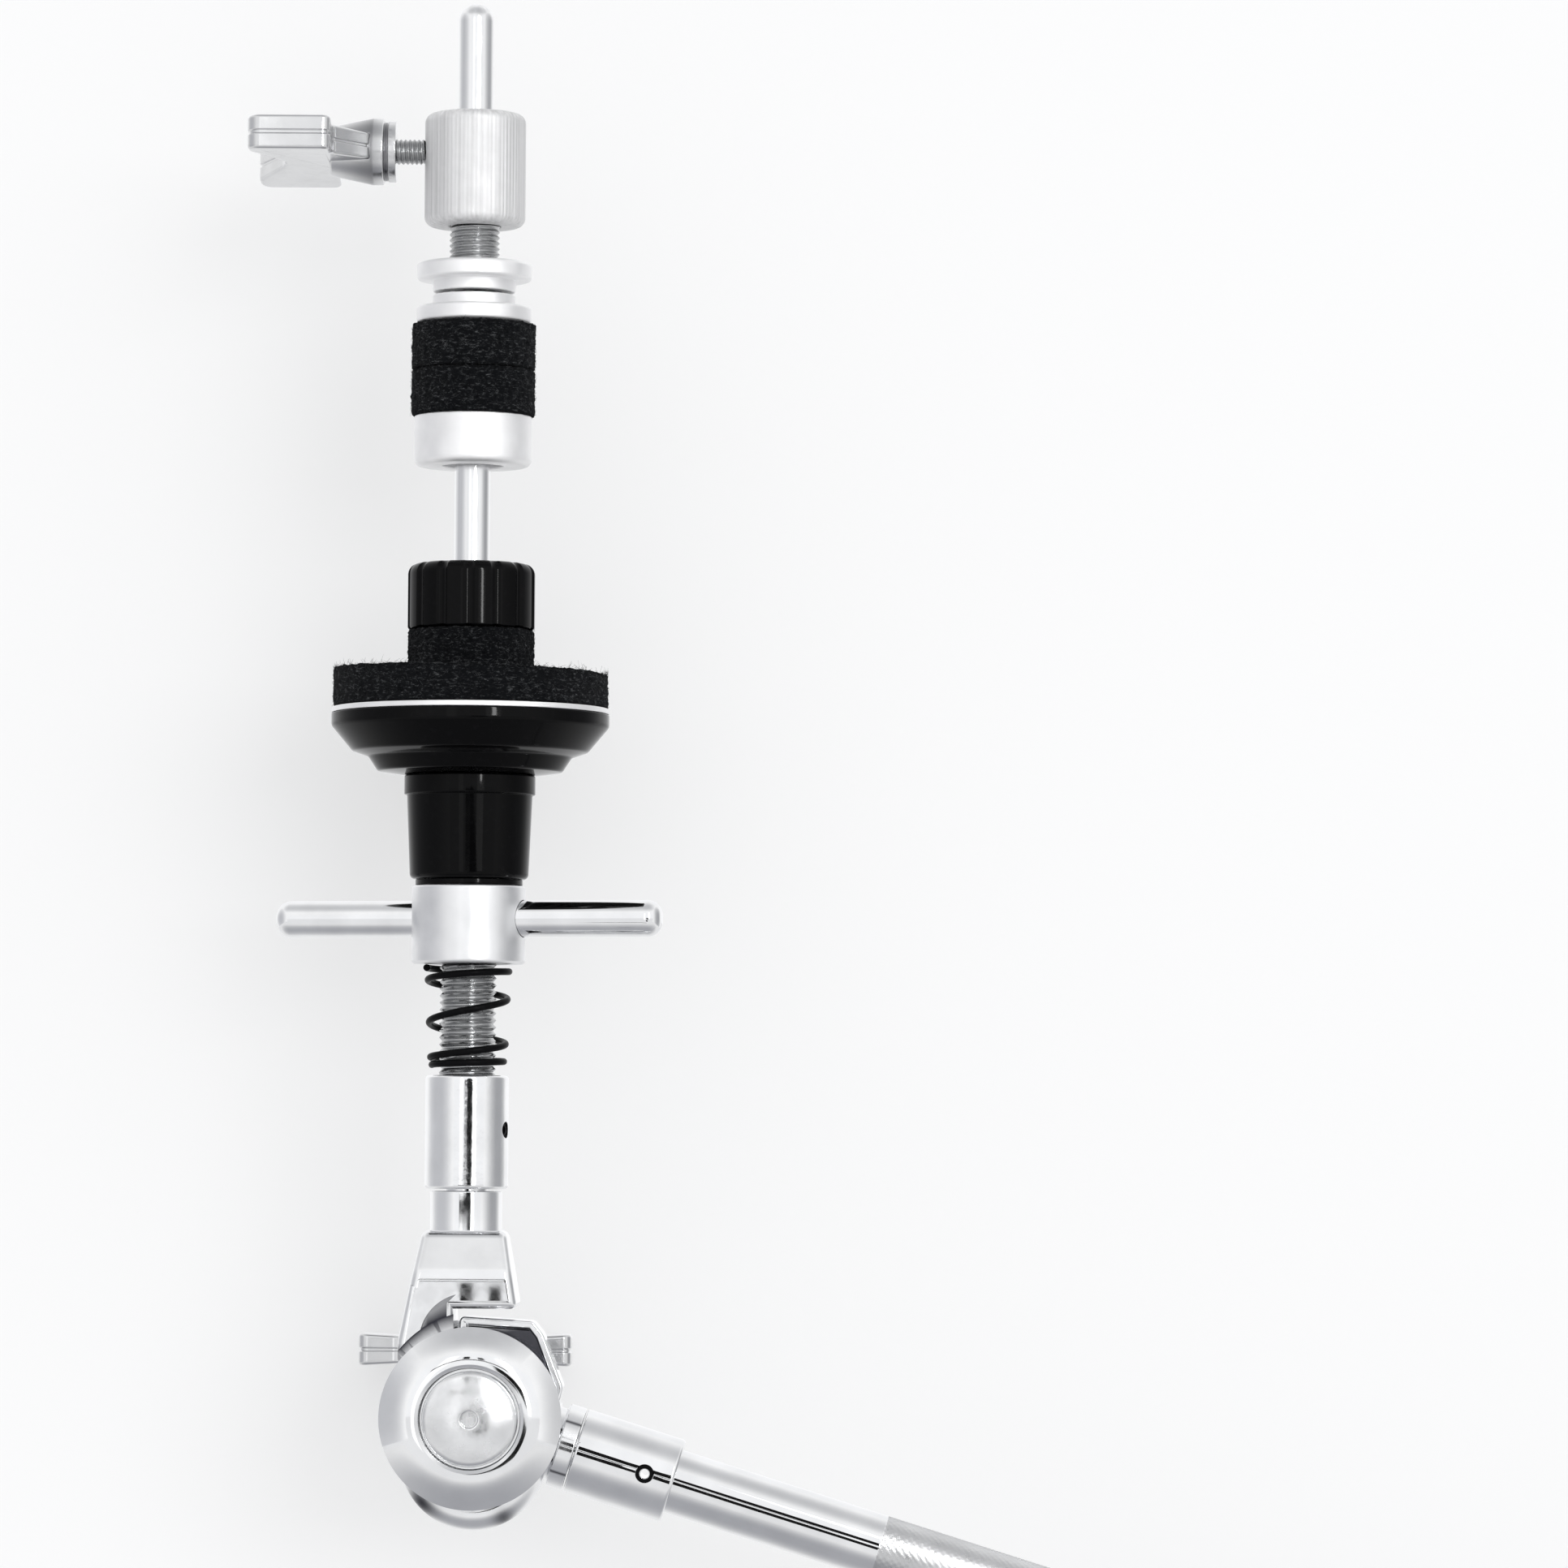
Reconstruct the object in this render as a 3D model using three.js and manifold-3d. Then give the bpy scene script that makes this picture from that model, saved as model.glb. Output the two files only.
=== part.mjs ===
// Closed hi-hat boom arm: a tilter on a boom arm carries a fixed pull rod, a sprung tension nut,
// the seat for the bottom cymbal and the clutch for the top cymbal. Millimetres, +Z up the rod.

import * as THREE from 'three';
import * as BufferGeometryUtils from 'three/addons/utils/BufferGeometryUtils.js';
import Module from 'manifold-3d';

const wasm = await Module();
wasm.setup();

// Fits
const RUNNING = 0.05; // radial play of a piece that turns or slides on another
const SEATING = 0.05; // play between faces that rest on each other
const FITTED = 0.15; // radial play round a piece let into its neighbour
const SWING = 0.3; // play between castings that swing past each other

// Sides of a faceted round
const SIDES = 20;
const WIDE_SIDES = 32;

// Pull rod and threaded stem
const ROD_DIAMETER = 6.35;
const ROD_ABOVE_CLUTCH = 20;
const STEM_DIAMETER = ROD_DIAMETER + 3.85;
const STEM_PITCH = 1.25;
const STEM_THREAD_DEPTH = 0.45;
const STEM_INTO_HUB = 9;

// Boom arm
const ARM_SLOPE = THREE.MathUtils.degToRad(17.35); // below the horizontal
const ARM_DIAMETER = 11.5;
const ARM_WALL = 1.5;
const ARM_LENGTH = 230; // from the tilter's shoulder to the open end
const GRIP_FROM_PIVOT = 165;
const KNURL_START = 38.5; // past the sleeve
const KNURL_LENGTH = 160;
const KNURL_HEIGHT = 0.06;
const PLUG_FLANGE = 2.6;
const PLUG_DEPTH = 9;
const SLEEVE_DIAMETER = 15.2;
const SLEEVE_LENGTH = 18.3;
const SPIGOT_LENGTH = 16.5;
const ROLL_PIN_DIAMETER = 3.2;
const ROLL_PIN_WALL = 0.75;
const ROLL_PIN_FROM_SHOULDER = 13.3;

// Tilter
const PIVOT_OFFSET = 1.5; // pivot axis, from the rod axis towards the arm
const DRUM_RADIUS = 16;
const DRUM_WIDTH = 13;
const EAR_RADIUS = 20.7;
const EAR_TOP = 17.6;
const EAR_STOP = 0.7; // ear's stop face, from the rod axis away from the arm
const STOP_GAP = 1.0;
const CHIN_RADIUS = 13;
const CHIN_DROP = 6.9;
const CHIN_WIDTH = 21;
const CHIN_RIGHT = 0.4;
const BOSS_START = 16.1;
const BOSS_END = 19.1;
const BUSH_WALL = 2.8;
const CHEEK_RADIUS = 15.5;
const FRONT_CHEEK = 4.2;
const REAR_CHEEK = 5.7;
const SHOULDER_HEIGHT = 33.3; // above the pivot
const SHOULDER_WIDTH = 14.9;
const FLARE_LEFT = 11.5;
const FLARE_LEFT_HEIGHT = 13.7;
const FLARE_RIGHT = 9.7;
const FLARE_RIGHT_HEIGHT = 19.4;
const SIDE_TAPER_HEIGHT = 25.4; // front and rear faces lean inwards above this
const LOBE_END = THREE.MathUtils.degToRad(143);
const RECESS_RADIUS = 18.6;
const RECESS_DEPTH = 2;
const RECESS_RIGHT = 1.8; // recess's centre, from the pivot
const RECESS_UP = 0.5;
const CASTING_BEVEL = 1.3;
const NECK_DIAMETER = 12.85;
const NECK_LENGTH = 7.3;
const STUD_DIAMETER = 7.8;
const STUD_LENGTH = 5.8;
const CAP_RADIUS = 16.2;
const CAP_RIM = 1.3;
const CAP_HEIGHT = 4.6;
const CAP_FLOOR = 1.9;
const PIVOT_DIAMETER = 8;
const PIVOT_HEAD_DIAMETER = 16.9;
const PIVOT_HEAD_RIM = 2.4;
const PIVOT_HEAD_DOME = 1.3;
const KEY_DIAMETER = 3;
const KEY_DEPTH = 1.6;
const PIVOT_WASHER = 1;
const PIVOT_WASHER_RADIUS = 7;
const PIVOT_NUT_FLATS = 12;
const PIVOT_NUT_HEIGHT = 4;
const BRAKE_HEIGHT = 11.2; // brake screw above the pivot
const BRAKE_OFFSET = 1.2; // brake screw from the rod axis, away from the arm
const BRAKE_SCREW_DIAMETER = 5.4;
const BRAKE_SCREW_EXPOSED = 6.4;
const PAD_DIAMETER = 8.4;
const PAD_THICKNESS = 2.2;
const BRAKE_TRAVEL = 1.2;
const WING_NOTCH = 6; // depth of the notch between two blades
const BRAKE_WING = {
	span: 38.8, length: 20, tipStart: 8.5, thickness: 5.9, flangeRadius: 5.6, hubRadius: 5.4, socket: 5
};

// Coupler
const COUPLER_DIAMETER = 14.9;
const COUPLER_LENGTH = 20.3;
const COUPLER_CHAMFER = 0.7;
const SET_SCREW_DIAMETER = 2.8;
const SET_SCREW_HEIGHT = 10.6; // above the coupler's lower end
const SET_SCREW_TURN = THREE.MathUtils.degToRad(- 18); // towards the front

// Tension spring and tension nut
const SPRING_SPACE = 20;
const SPRING_WIRE = 1.25;
const SPRING_TOP_DIAMETER = 16.5;
const SPRING_BOTTOM_DIAMETER = 14.3;
const SPRING_TURNS = 4;
const COLLAR_DIAMETER = 20.4;
const COLLAR_HEIGHT = 14.1;
const COLLAR_CHAMFER = 0.7;
const HANDLE_DIAMETER = 5.7;
const HANDLE_REACH = 35.9;
const HANDLE_DEPTH = 3.2; // how far a handle is let into the collar
const HANDLE_HEIGHT = 8.1; // above the collar's lower face
const HANDLE_TURN = THREE.MathUtils.degToRad(-15);
const THRUST_DIAMETER = 19.3;
const THRUST_HEIGHT = 1;

// Seat for the bottom cymbal
const HUB_HEIGHT = 18.7;
const HUB_BOTTOM_DIAMETER = 21.3;
const HUB_TOP_DIAMETER = 22.6;
const HUB_LIP_DIAMETER = 23.6;
const HUB_LIP_HEIGHT = 3.6;
const HUB_PLAY = 0.6;
const CUP_HEIGHT = 11.1;
const CUP_RADIUS = 25;
const CUP_RIM = 1.6;
const CUP_FOOT_RADIUS = 16.6;
const WASHER_DIAMETER = 49.9;
const WASHER_THICKNESS = 1;
const LARGE_FELT_DIAMETER = 49.3;
const LARGE_FELT_THICKNESS = 7.1;
const SMALL_FELT_DIAMETER = 22.6;
const SMALL_FELT_THICKNESS = 7;
const TUBE_DIAMETER = ROD_DIAMETER + 3.05;
const TUBE_BORE = ROD_DIAMETER + 0.85;
const TUBE_FLANGE_DIAMETER = 16;
const TUBE_FLANGE_HEIGHT = 2.6;
const KNOB_DIAMETER = 22.9;
const KNOB_HEIGHT = 11.9;
const KNOB_EDGE = 2;
const KNOB_FLUTES = 14;
const FLUTE_RADIUS = 1.1;
const KNOB_ROOF = 2.4;
const INSERT_DIAMETER = 14;
const CYMBAL_GAP = 17.6; // clutch above the knob

// Clutch
const CLUTCH_TUBE_DIAMETER = ROD_DIAMETER + 2.7;
const CLUTCH_PITCH = 1;
const CLUTCH_THREAD_DEPTH = 0.3;
const BOTTOM_NUT_DIAMETER = 21.2;
const BOTTOM_NUT_HEIGHT = 9.1;
const BOTTOM_NUT_RECESS = 2.6;
const BOTTOM_NUT_EDGE = 1.4;
const CLUTCH_FELT_DIAMETER = 22.2;
const CLUTCH_FELT_THICKNESS = 8.3;
const LOCK_FLANGE_DIAMETER = 20.7;
const LOCK_FLANGE_HEIGHT = 3.1;
const LOCK_HUB_DIAMETER = 14.9;
const LOCK_HUB_HEIGHT = 2.2;
const LOCK_GAP = 0.5;
const TUBE_EXPOSED = 6.6;
const TUBE_INTO_BODY = 5;
const CLUTCH_BODY_DIAMETER = 18.2;
const CLUTCH_BODY_HEIGHT = 20.4;
const CLUTCH_BODY_EDGE = 1.8;
const CLUTCH_SCREW_HEIGHT = 13.5; // above the clutch body's lower face
const CLUTCH_SCREW_DIAMETER = 4.6;
const CLUTCH_SCREW_EXPOSED = 5.1;
const CLUTCH_WING_TURN = THREE.MathUtils.degToRad(3);
const CLUTCH_WING = {
	span: 38, length: 25.7, tipStart: 10.9, thickness: 6.3, flangeRadius: 5.5, hubRadius: 6, socket: 7
};

// Levels up the rod, from the pivot's height
const couplerBase = SHOULDER_HEIGHT + NECK_LENGTH;
const couplerTop = couplerBase + COUPLER_LENGTH;
const collarBase = couplerTop + SPRING_SPACE;
const thrustBase = collarBase + COLLAR_HEIGHT;
const hubBase = thrustBase + THRUST_HEIGHT;
const cupBase = hubBase + HUB_HEIGHT;
const washerBase = cupBase + CUP_HEIGHT;
const largeFeltBase = washerBase + WASHER_THICKNESS;
const smallFeltBase = largeFeltBase + LARGE_FELT_THICKNESS;
const knobBase = smallFeltBase + SMALL_FELT_THICKNESS;
const knobTop = knobBase + KNOB_HEIGHT;
const bottomNutBase = knobTop + CYMBAL_GAP;
const lowerFeltBase = bottomNutBase + BOTTOM_NUT_HEIGHT;
const upperFeltBase = lowerFeltBase + CLUTCH_FELT_THICKNESS;
const lowerLockBase = upperFeltBase + CLUTCH_FELT_THICKNESS;
const upperLockBase = lowerLockBase + LOCK_FLANGE_HEIGHT + LOCK_HUB_HEIGHT + LOCK_GAP;
const clutchTubeExposedBase = upperLockBase + LOCK_HUB_HEIGHT + LOCK_FLANGE_HEIGHT;
const clutchBodyBase = clutchTubeExposedBase + TUBE_EXPOSED;
const clutchBodyTop = clutchBodyBase + CLUTCH_BODY_HEIGHT;
const rodTop = clutchBodyTop + ROD_ABOVE_CLUTCH;
const stemBase = couplerBase + STUD_LENGTH + SWING;
const stemTop = thrustBase + STEM_INTO_HUB;
const cheekInner = DRUM_WIDTH / 2 + SWING;
const frontFace = cheekInner + FRONT_CHEEK;
const rearFace = cheekInner + REAR_CHEEK;

// Materials
const chrome = { color: 0xd6d8db, roughness: 0.1, metalness: 1 };
const aluminium = { color: 0xe4e5e6, roughness: 0.35, metalness: 1 };
const steel = { color: 0xb4b7ba, roughness: 0.3, metalness: 1 };
const brass = { color: 0xb08d4a, roughness: 0.35, metalness: 1 };
const blackPlastic = { color: 0x0b0b0c, roughness: 0.15, metalness: 0 };
const blackWire = { color: 0x101011, roughness: 0.35, metalness: 0.4 };
const felt = { color: 0x16181a, roughness: 1, metalness: 0 };
const nylon = { color: 0x2b2b2d, roughness: 0.5, metalness: 0 };

function piece(name, geometry, finish) {

	const mesh = new THREE.Mesh(geometry, new THREE.MeshStandardMaterial(finish));
	mesh.name = name;
	return mesh;

}

// Solids of revolution round Z, from a profile of [radius, height] points run upwards on its outer side

function turned(profile, segments = SIDES) {

	const points = profile.map(([radius, height]) => new THREE.Vector2(radius, height));
	return new THREE.LatheGeometry(points, segments).rotateX(Math.PI / 2);

}

// Radius of a faceted bore whose flats clear a shaft of the given radius

function boreFor(radius) {

	return (radius + RUNNING) / Math.cos(Math.PI / SIDES);

}

function arcPoints(centreRadius, centreHeight, edge, fromAngle, toAngle, steps = 3) {

	return Array.from({ length: steps + 1 }, (_, i) => {

		const angle = fromAngle + (toAngle - fromAngle) * i / steps;
		return [centreRadius + edge * Math.cos(angle), centreHeight + edge * Math.sin(angle)];

	});

}

// A round bar or ring between two heights, with bevelled edges

function barrel({ radius, base, top, bore = 0, lower = 0, upper = 0, segments = SIDES }) {

	const lowerEdge = lower ? [[radius - lower, base], [radius, base + lower]] : [[radius, base]];
	const upperEdge = upper ? [[radius, top - upper], [radius - upper, top]] : [[radius, top]];
	const profile = [[bore, base], ...lowerEdge, ...upperEdge, [bore, top]];
	if (bore > 0) profile.push([bore, base]);
	return turned(profile, segments);

}

// Ridges of a thread from one height to another, as profile points at the crest and the root

function threadProfile(crest, depth, pitch, base, top) {

	const count = Math.max(1, Math.floor((top - base) / pitch));
	const points = [];
	for (let i = 0; i < count; i ++) {

		points.push([crest, base + (i + 0.25) * pitch], [crest - depth, base + (i + 0.75) * pitch]);

	}

	return points;

}

// Booleans on closed geometries

function toManifold(geometry) {

	const bare = new THREE.BufferGeometry();
	bare.setAttribute('position', geometry.getAttribute('position').clone());
	if (geometry.index) bare.setIndex(geometry.index.clone());
	const merged = BufferGeometryUtils.mergeVertices(bare, 1e-5);
	const vertProperties = new Float32Array(merged.getAttribute('position').array);
	const corners = Array.from(merged.index.array);
	const triVerts = [];
	for (let i = 0; i < corners.length; i += 3) {

		const [a, b, c] = corners.slice(i, i + 3);
		if (a !== b && b !== c && c !== a) triVerts.push(a, b, c);

	}

	return new wasm.Manifold(new wasm.Mesh({ numProp: 3, vertProperties, triVerts: new Uint32Array(triVerts) }));

}

function fromManifold(solid) {

	const mesh = solid.getMesh();
	const geometry = new THREE.BufferGeometry();
	geometry.setAttribute('position', new THREE.BufferAttribute(new Float32Array(mesh.vertProperties), 3));
	geometry.setIndex(new THREE.BufferAttribute(new Uint32Array(mesh.triVerts), 1));
	geometry.computeVertexNormals();
	return geometry;

}

function join(...geometries) {

	return geometries.map(toManifold).reduce((sum, next) => sum.add(next));

}

function cut(solid, ...tools) {

	return tools.map(toManifold).reduce((rest, tool) => rest.subtract(tool), solid);

}

// A bar along Y, from an outline in the X-Z plane

function plate(shape, yMin, yMax, bevel = 0) {

	const depth = yMax - yMin - 2 * bevel;
	const options = {
		depth, bevelEnabled: bevel > 0, bevelThickness: bevel, bevelSize: bevel, bevelOffset: - bevel,
		bevelSegments: 1, curveSegments: 6
	};
	return new THREE.ExtrudeGeometry(shape, options).rotateX(Math.PI / 2).translate(0, yMax - bevel, 0);

}

function outline(points) {

	return new THREE.Shape(points.map(([x, z]) => new THREE.Vector2(x, z)));

}

function pinAlongY(radius, yMin, yMax, x, z, segments = SIDES) {

	return barrel({ radius, base: yMin, top: yMax, segments }).rotateX(- Math.PI / 2).translate(x, 0, z);

}

// Turns a geometry built along +Z so that it lies along the boom arm

function alongArm(geometry) {

	return geometry.rotateY(Math.PI / 2 + ARM_SLOPE);

}

// --- Boom arm, in a frame whose +Z runs down the arm from the pivot

function armPieces() {

	const shoulderEnd = BOSS_END + SWING;
	const tubeStart = shoulderEnd + FITTED;
	const tubeEnd = tubeStart + ARM_LENGTH;
	const radius = ARM_DIAMETER / 2;
	const bore = radius - ARM_WALL;
	const pinAt = BOSS_END + ROLL_PIN_FROM_SHOULDER;
	const pinHole = pinAlongY(ROLL_PIN_DIAMETER / 2 + FITTED, - SLEEVE_DIAMETER, SLEEVE_DIAMETER, 0, pinAt);

	const knurlBase = shoulderEnd + KNURL_START + SLEEVE_LENGTH;
	const knurlTop = knurlBase + KNURL_LENGTH;
	const tube = turned([
		[bore, tubeStart], [radius, tubeStart], [radius, knurlBase],
		[radius + KNURL_HEIGHT, knurlBase + KNURL_HEIGHT], [radius + KNURL_HEIGHT, knurlTop - KNURL_HEIGHT],
		[radius, knurlTop], [radius, tubeEnd], [bore, tubeEnd], [bore, tubeStart]
	]);
	const sleeve = barrel({
		radius: SLEEVE_DIAMETER / 2, base: shoulderEnd, top: shoulderEnd + SLEEVE_LENGTH,
		bore: radius + FITTED, lower: 0.4, upper: 0.6
	});
	const pinLength = SLEEVE_DIAMETER / 2 + 0.1;
	const pin = barrel({
		radius: ROLL_PIN_DIAMETER / 2, bore: ROLL_PIN_DIAMETER / 2 - ROLL_PIN_WALL,
		base: - pinLength, top: pinLength, lower: 0.2, upper: 0.2
	}).rotateX(- Math.PI / 2).translate(0, 0, pinAt);
	const plug = turned([
		[0, tubeEnd - PLUG_DEPTH], [bore - FITTED - 0.5, tubeEnd - PLUG_DEPTH],
		[bore - FITTED, tubeEnd - PLUG_DEPTH + 0.5], [bore - FITTED, tubeEnd + SEATING],
		[radius, tubeEnd + SEATING], [radius, tubeEnd + PLUG_FLANGE - 0.6],
		[radius - 0.6, tubeEnd + PLUG_FLANGE], [0, tubeEnd + PLUG_FLANGE]
	]);

	return [
		piece('boom_arm', fromManifold(cut(toManifold(tube), pinHole)), chrome),
		piece('arm_sleeve', fromManifold(cut(toManifold(sleeve), pinHole)), chrome),
		piece('arm_roll_pin', pin, blackWire),
		piece('arm_end_plug', plug, blackPlastic)
	];

}

// --- Lower tilter casting: drum, stop ear, chin, boss and the spigot inside the boom arm

function lowerCasting() {

	const half = DRUM_WIDTH / 2;
	const drum = pinAlongY(DRUM_RADIUS, - half, half, 0, 0, WIDE_SIDES);
	const chin = pinAlongY(CHIN_RADIUS, - half, half, CHIN_RIGHT, - CHIN_DROP, WIDE_SIDES);
	const wideChin = cut(
		toManifold(pinAlongY(CHIN_RADIUS, - CHIN_WIDTH / 2, CHIN_WIDTH / 2, CHIN_RIGHT, - CHIN_DROP, WIDE_SIDES)),
		pinAlongY(CHEEK_RADIUS + 2 * SWING, - CHIN_WIDTH, CHIN_WIDTH, 0, 0, WIDE_SIDES)
	);
	const stopFace = - PIVOT_OFFSET - EAR_STOP;
	const cornerX = Math.sqrt(EAR_RADIUS ** 2 - (EAR_TOP - 1) ** 2);
	const ear = plate(outline([
		[stopFace, 8], [DRUM_RADIUS - 1, 0], [DRUM_RADIUS + 0.3, 5.5], [cornerX + 1.8, EAR_TOP - 2.7],
		[cornerX, EAR_TOP - 1], [cornerX - 8.8, EAR_TOP], [stopFace, EAR_TOP + 0.4]
	]), - half, half, 0.5);
	const root = barrel({ radius: half - 0.1, base: 10, top: BOSS_START + 0.5 });
	const boss = barrel({ radius: SLEEVE_DIAMETER / 2, base: BOSS_START, top: BOSS_END, lower: 0.5, upper: 0.3 });
	const spigotRadius = ARM_DIAMETER / 2 - ARM_WALL - FITTED;
	const spigot = barrel({ radius: spigotRadius, base: 12, top: BOSS_END + SPIGOT_LENGTH, upper: 0.5 });
	const pinAt = BOSS_END + ROLL_PIN_FROM_SHOULDER;
	const pinHole = pinAlongY(ROLL_PIN_DIAMETER / 2 + FITTED, - half, half, 0, pinAt);

	const body = join(drum, chin, ear, ...[root, boss, spigot].map(alongArm)).add(wideChin);
	const bushHole = pinAlongY(PIVOT_DIAMETER / 2 + BUSH_WALL + FITTED, - half - 1, half + 1, 0, 0);
	return fromManifold(cut(body, bushHole, alongArm(pinHole)));

}

function bush() {

	const bore = boreFor(PIVOT_DIAMETER / 2);
	const length = DRUM_WIDTH / 2 - SEATING;
	const radius = PIVOT_DIAMETER / 2 + BUSH_WALL;
	return barrel({ radius, bore, base: - length, top: length, lower: 0.3, upper: 0.3 });

}

// --- Upper tilter casting: neck, flared body and the two cheeks that hold the drum

function upperCasting() {

	const rodX = - PIVOT_OFFSET;
	const wall = rodX - EAR_STOP - STOP_GAP;
	const lobeRadius = DRUM_RADIUS + SWING;
	const lobeTip = [lobeRadius * Math.cos(LOBE_END), lobeRadius * Math.sin(LOBE_END)];
	const halfShoulder = SHOULDER_WIDTH / 2;
	const face = outline([
		[rodX - halfShoulder, SHOULDER_HEIGHT], [rodX - FLARE_LEFT, FLARE_LEFT_HEIGHT], lobeTip,
		[wall, lobeTip[1]], [wall, FLARE_RIGHT_HEIGHT],
		[rodX + FLARE_RIGHT, FLARE_RIGHT_HEIGHT], [rodX + halfShoulder, SHOULDER_HEIGHT]
	]);
	const flare = toManifold(plate(face, - frontFace, frontFace, CASTING_BEVEL));
	const side = outline([
		[- halfShoulder, SHOULDER_HEIGHT], [- frontFace, SIDE_TAPER_HEIGHT], [- frontFace, - 5],
		[frontFace, - 5], [frontFace, SIDE_TAPER_HEIGHT], [halfShoulder, SHOULDER_HEIGHT]
	]);
	const sideBlock = toManifold(plate(side, - 40, 40).rotateZ(Math.PI / 2));
	const recess = pinAlongY(
		RECESS_RADIUS, - frontFace - 1, - frontFace + RECESS_DEPTH, RECESS_RIGHT, RECESS_UP, WIDE_SIDES
	);

	let body = cut(flare.intersect(sideBlock), recess);
	body = body.add(toManifold(pinAlongY(CHEEK_RADIUS, - frontFace, frontFace, 0, 0, WIDE_SIDES)));
	body = body.add(toManifold(pinAlongY(CHEEK_RADIUS, 0, rearFace, 0, 0, WIDE_SIDES)));
	const neck = barrel({
		radius: NECK_DIAMETER / 2, base: SHOULDER_HEIGHT - 1, top: couplerBase - SEATING, upper: 0.3
	});
	const stud = barrel({
		radius: STUD_DIAMETER / 2, base: SHOULDER_HEIGHT, top: couplerBase + STUD_LENGTH, upper: 0.4
	});
	body = body.add(join(neck, stud).translate([rodX, 0, 0]));

	const drumSpace = pinAlongY(lobeRadius, - cheekInner, cheekInner, 0, 0, WIDE_SIDES);
	const sweep = toManifold(pinAlongY(EAR_RADIUS + SWING, - cheekInner, cheekInner, 0, 0, WIDE_SIDES));
	const openSide = plate(outline([[wall, - 40], [40, - 40], [40, 40], [wall, 40]]), - cheekInner, cheekInner);
	body = body.subtract(sweep.intersect(toManifold(openSide)));
	const pad = pinAlongY(PAD_DIAMETER / 2 + FITTED, 0, padPlace().pocket, rodX - BRAKE_OFFSET, BRAKE_HEIGHT);
	const screwBore = boreFor(BRAKE_SCREW_DIAMETER / 2);
	const screw = pinAlongY(screwBore, 0, rearFace + 1, rodX - BRAKE_OFFSET, BRAKE_HEIGHT);
	const pivot = pinAlongY(PIVOT_DIAMETER / 2 + FITTED, - 20, 20, 0, 0);
	return fromManifold(cut(body, drumSpace, pad, screw, pivot));

}

// Where the brake pad lies along Y: against the drum's rear face, in a pocket of the rear cheek

function padPlace() {

	const front = DRUM_WIDTH / 2 + SEATING;
	return { front, rear: front + PAD_THICKNESS, pocket: front + PAD_THICKNESS + BRAKE_TRAVEL };

}

// --- Cap disc and pivot bolt, in a frame whose +Z points out of the front of the tilter

function capDisc(face) {

	const groove = PIVOT_HEAD_DIAMETER / 2 + 0.5;
	const crown = Array.from({ length: 6 }, (_, i) => {

		const t = i / 5;
		const radius = CAP_RADIUS + (groove + 0.7 - CAP_RADIUS) * t;
		return [radius, face + CAP_RIM + (CAP_HEIGHT - CAP_RIM) * Math.sin(t * Math.PI / 2)];

	});
	return turned([
		[PIVOT_DIAMETER / 2 + FITTED, face], [CAP_RADIUS - 0.4, face], [CAP_RADIUS, face + 0.4], ...crown,
		[groove, face + CAP_HEIGHT - 0.6], [groove, face + CAP_FLOOR],
		[PIVOT_DIAMETER / 2 + FITTED, face + CAP_FLOOR], [PIVOT_DIAMETER / 2 + FITTED, face]
	], WIDE_SIDES);

}

function pivotBolt(seat, tail) {

	const head = PIVOT_HEAD_DIAMETER / 2;
	const dome = Array.from({ length: 6 }, (_, i) => {

		const t = i / 5;
		return [head * (1 - 0.82 * t), seat + PIVOT_HEAD_RIM + PIVOT_HEAD_DOME * Math.sin(t * Math.PI / 2)];

	});
	const top = seat + PIVOT_HEAD_RIM + PIVOT_HEAD_DOME;
	return turned([
		[0, tail], [PIVOT_DIAMETER / 2 - 0.5, tail], [PIVOT_DIAMETER / 2, tail + 0.5], [PIVOT_DIAMETER / 2, seat],
		[head, seat], ...dome, [KEY_DIAMETER / 2, top], [KEY_DIAMETER / 2, top - KEY_DEPTH], [0, top - KEY_DEPTH]
	]);

}

function pivotNut(base) {

	const hexagon = outline(Array.from({ length: 6 }, (_, i) => {

		const corner = PIVOT_NUT_FLATS / 2 / Math.cos(Math.PI / 6);
		return [corner * Math.cos(i * Math.PI / 3), corner * Math.sin(i * Math.PI / 3)];

	}));
	const top = base + PIVOT_NUT_HEIGHT;
	const blank = toManifold(plate(hexagon, base, top, 0.4));
	return fromManifold(cut(blank, pinAlongY(PIVOT_DIAMETER / 2 + FITTED, base - 1, top + 1, 0, 0)));

}

// --- Screw with a cast wing: +Z points away from what it clamps, the wings spread along X

function screwShank(radius, base, top) {

	return barrel({ radius, base, top, lower: 0.5, upper: 0.3 });

}

function wing(screwRadius, { span, length, tipStart, thickness, flangeRadius, hubRadius, socket }) {

	const hub = turned([
		[0, 0], [flangeRadius, 0], [flangeRadius, 1.3], [hubRadius - 0.6, 1.5], [hubRadius - 0.6, 2],
		[hubRadius, 2.2], [hubRadius, 3.9], [hubRadius - 0.5, 4.4], [hubRadius - 1.6, tipStart], [0, tipStart]
	]);
	const half = span / 2;
	const blade = new THREE.Shape();
	blade.moveTo(- 1, 4.4);
	blade.quadraticCurveTo(half * 0.45, 4.8, half * 0.62, tipStart);
	blade.lineTo(half - 1.6, tipStart);
	blade.quadraticCurveTo(half, tipStart, half, tipStart + 1.6);
	blade.lineTo(half, length - 2.5);
	blade.quadraticCurveTo(half, length, half - 2.5, length);
	blade.lineTo(half * 0.74, length);
	blade.quadraticCurveTo(half * 0.45, length - WING_NOTCH, - 1, length - WING_NOTCH);
	const right = plate(blade, - thickness / 2, thickness / 2, 0.5);
	const left = right.clone().rotateZ(Math.PI);
	const solid = join(hub, right, left);
	const bore = boreFor(screwRadius);
	return fromManifold(cut(solid, barrel({ radius: bore, base: - 1, top: socket })));

}

// --- Rod, stem and coupler

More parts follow.
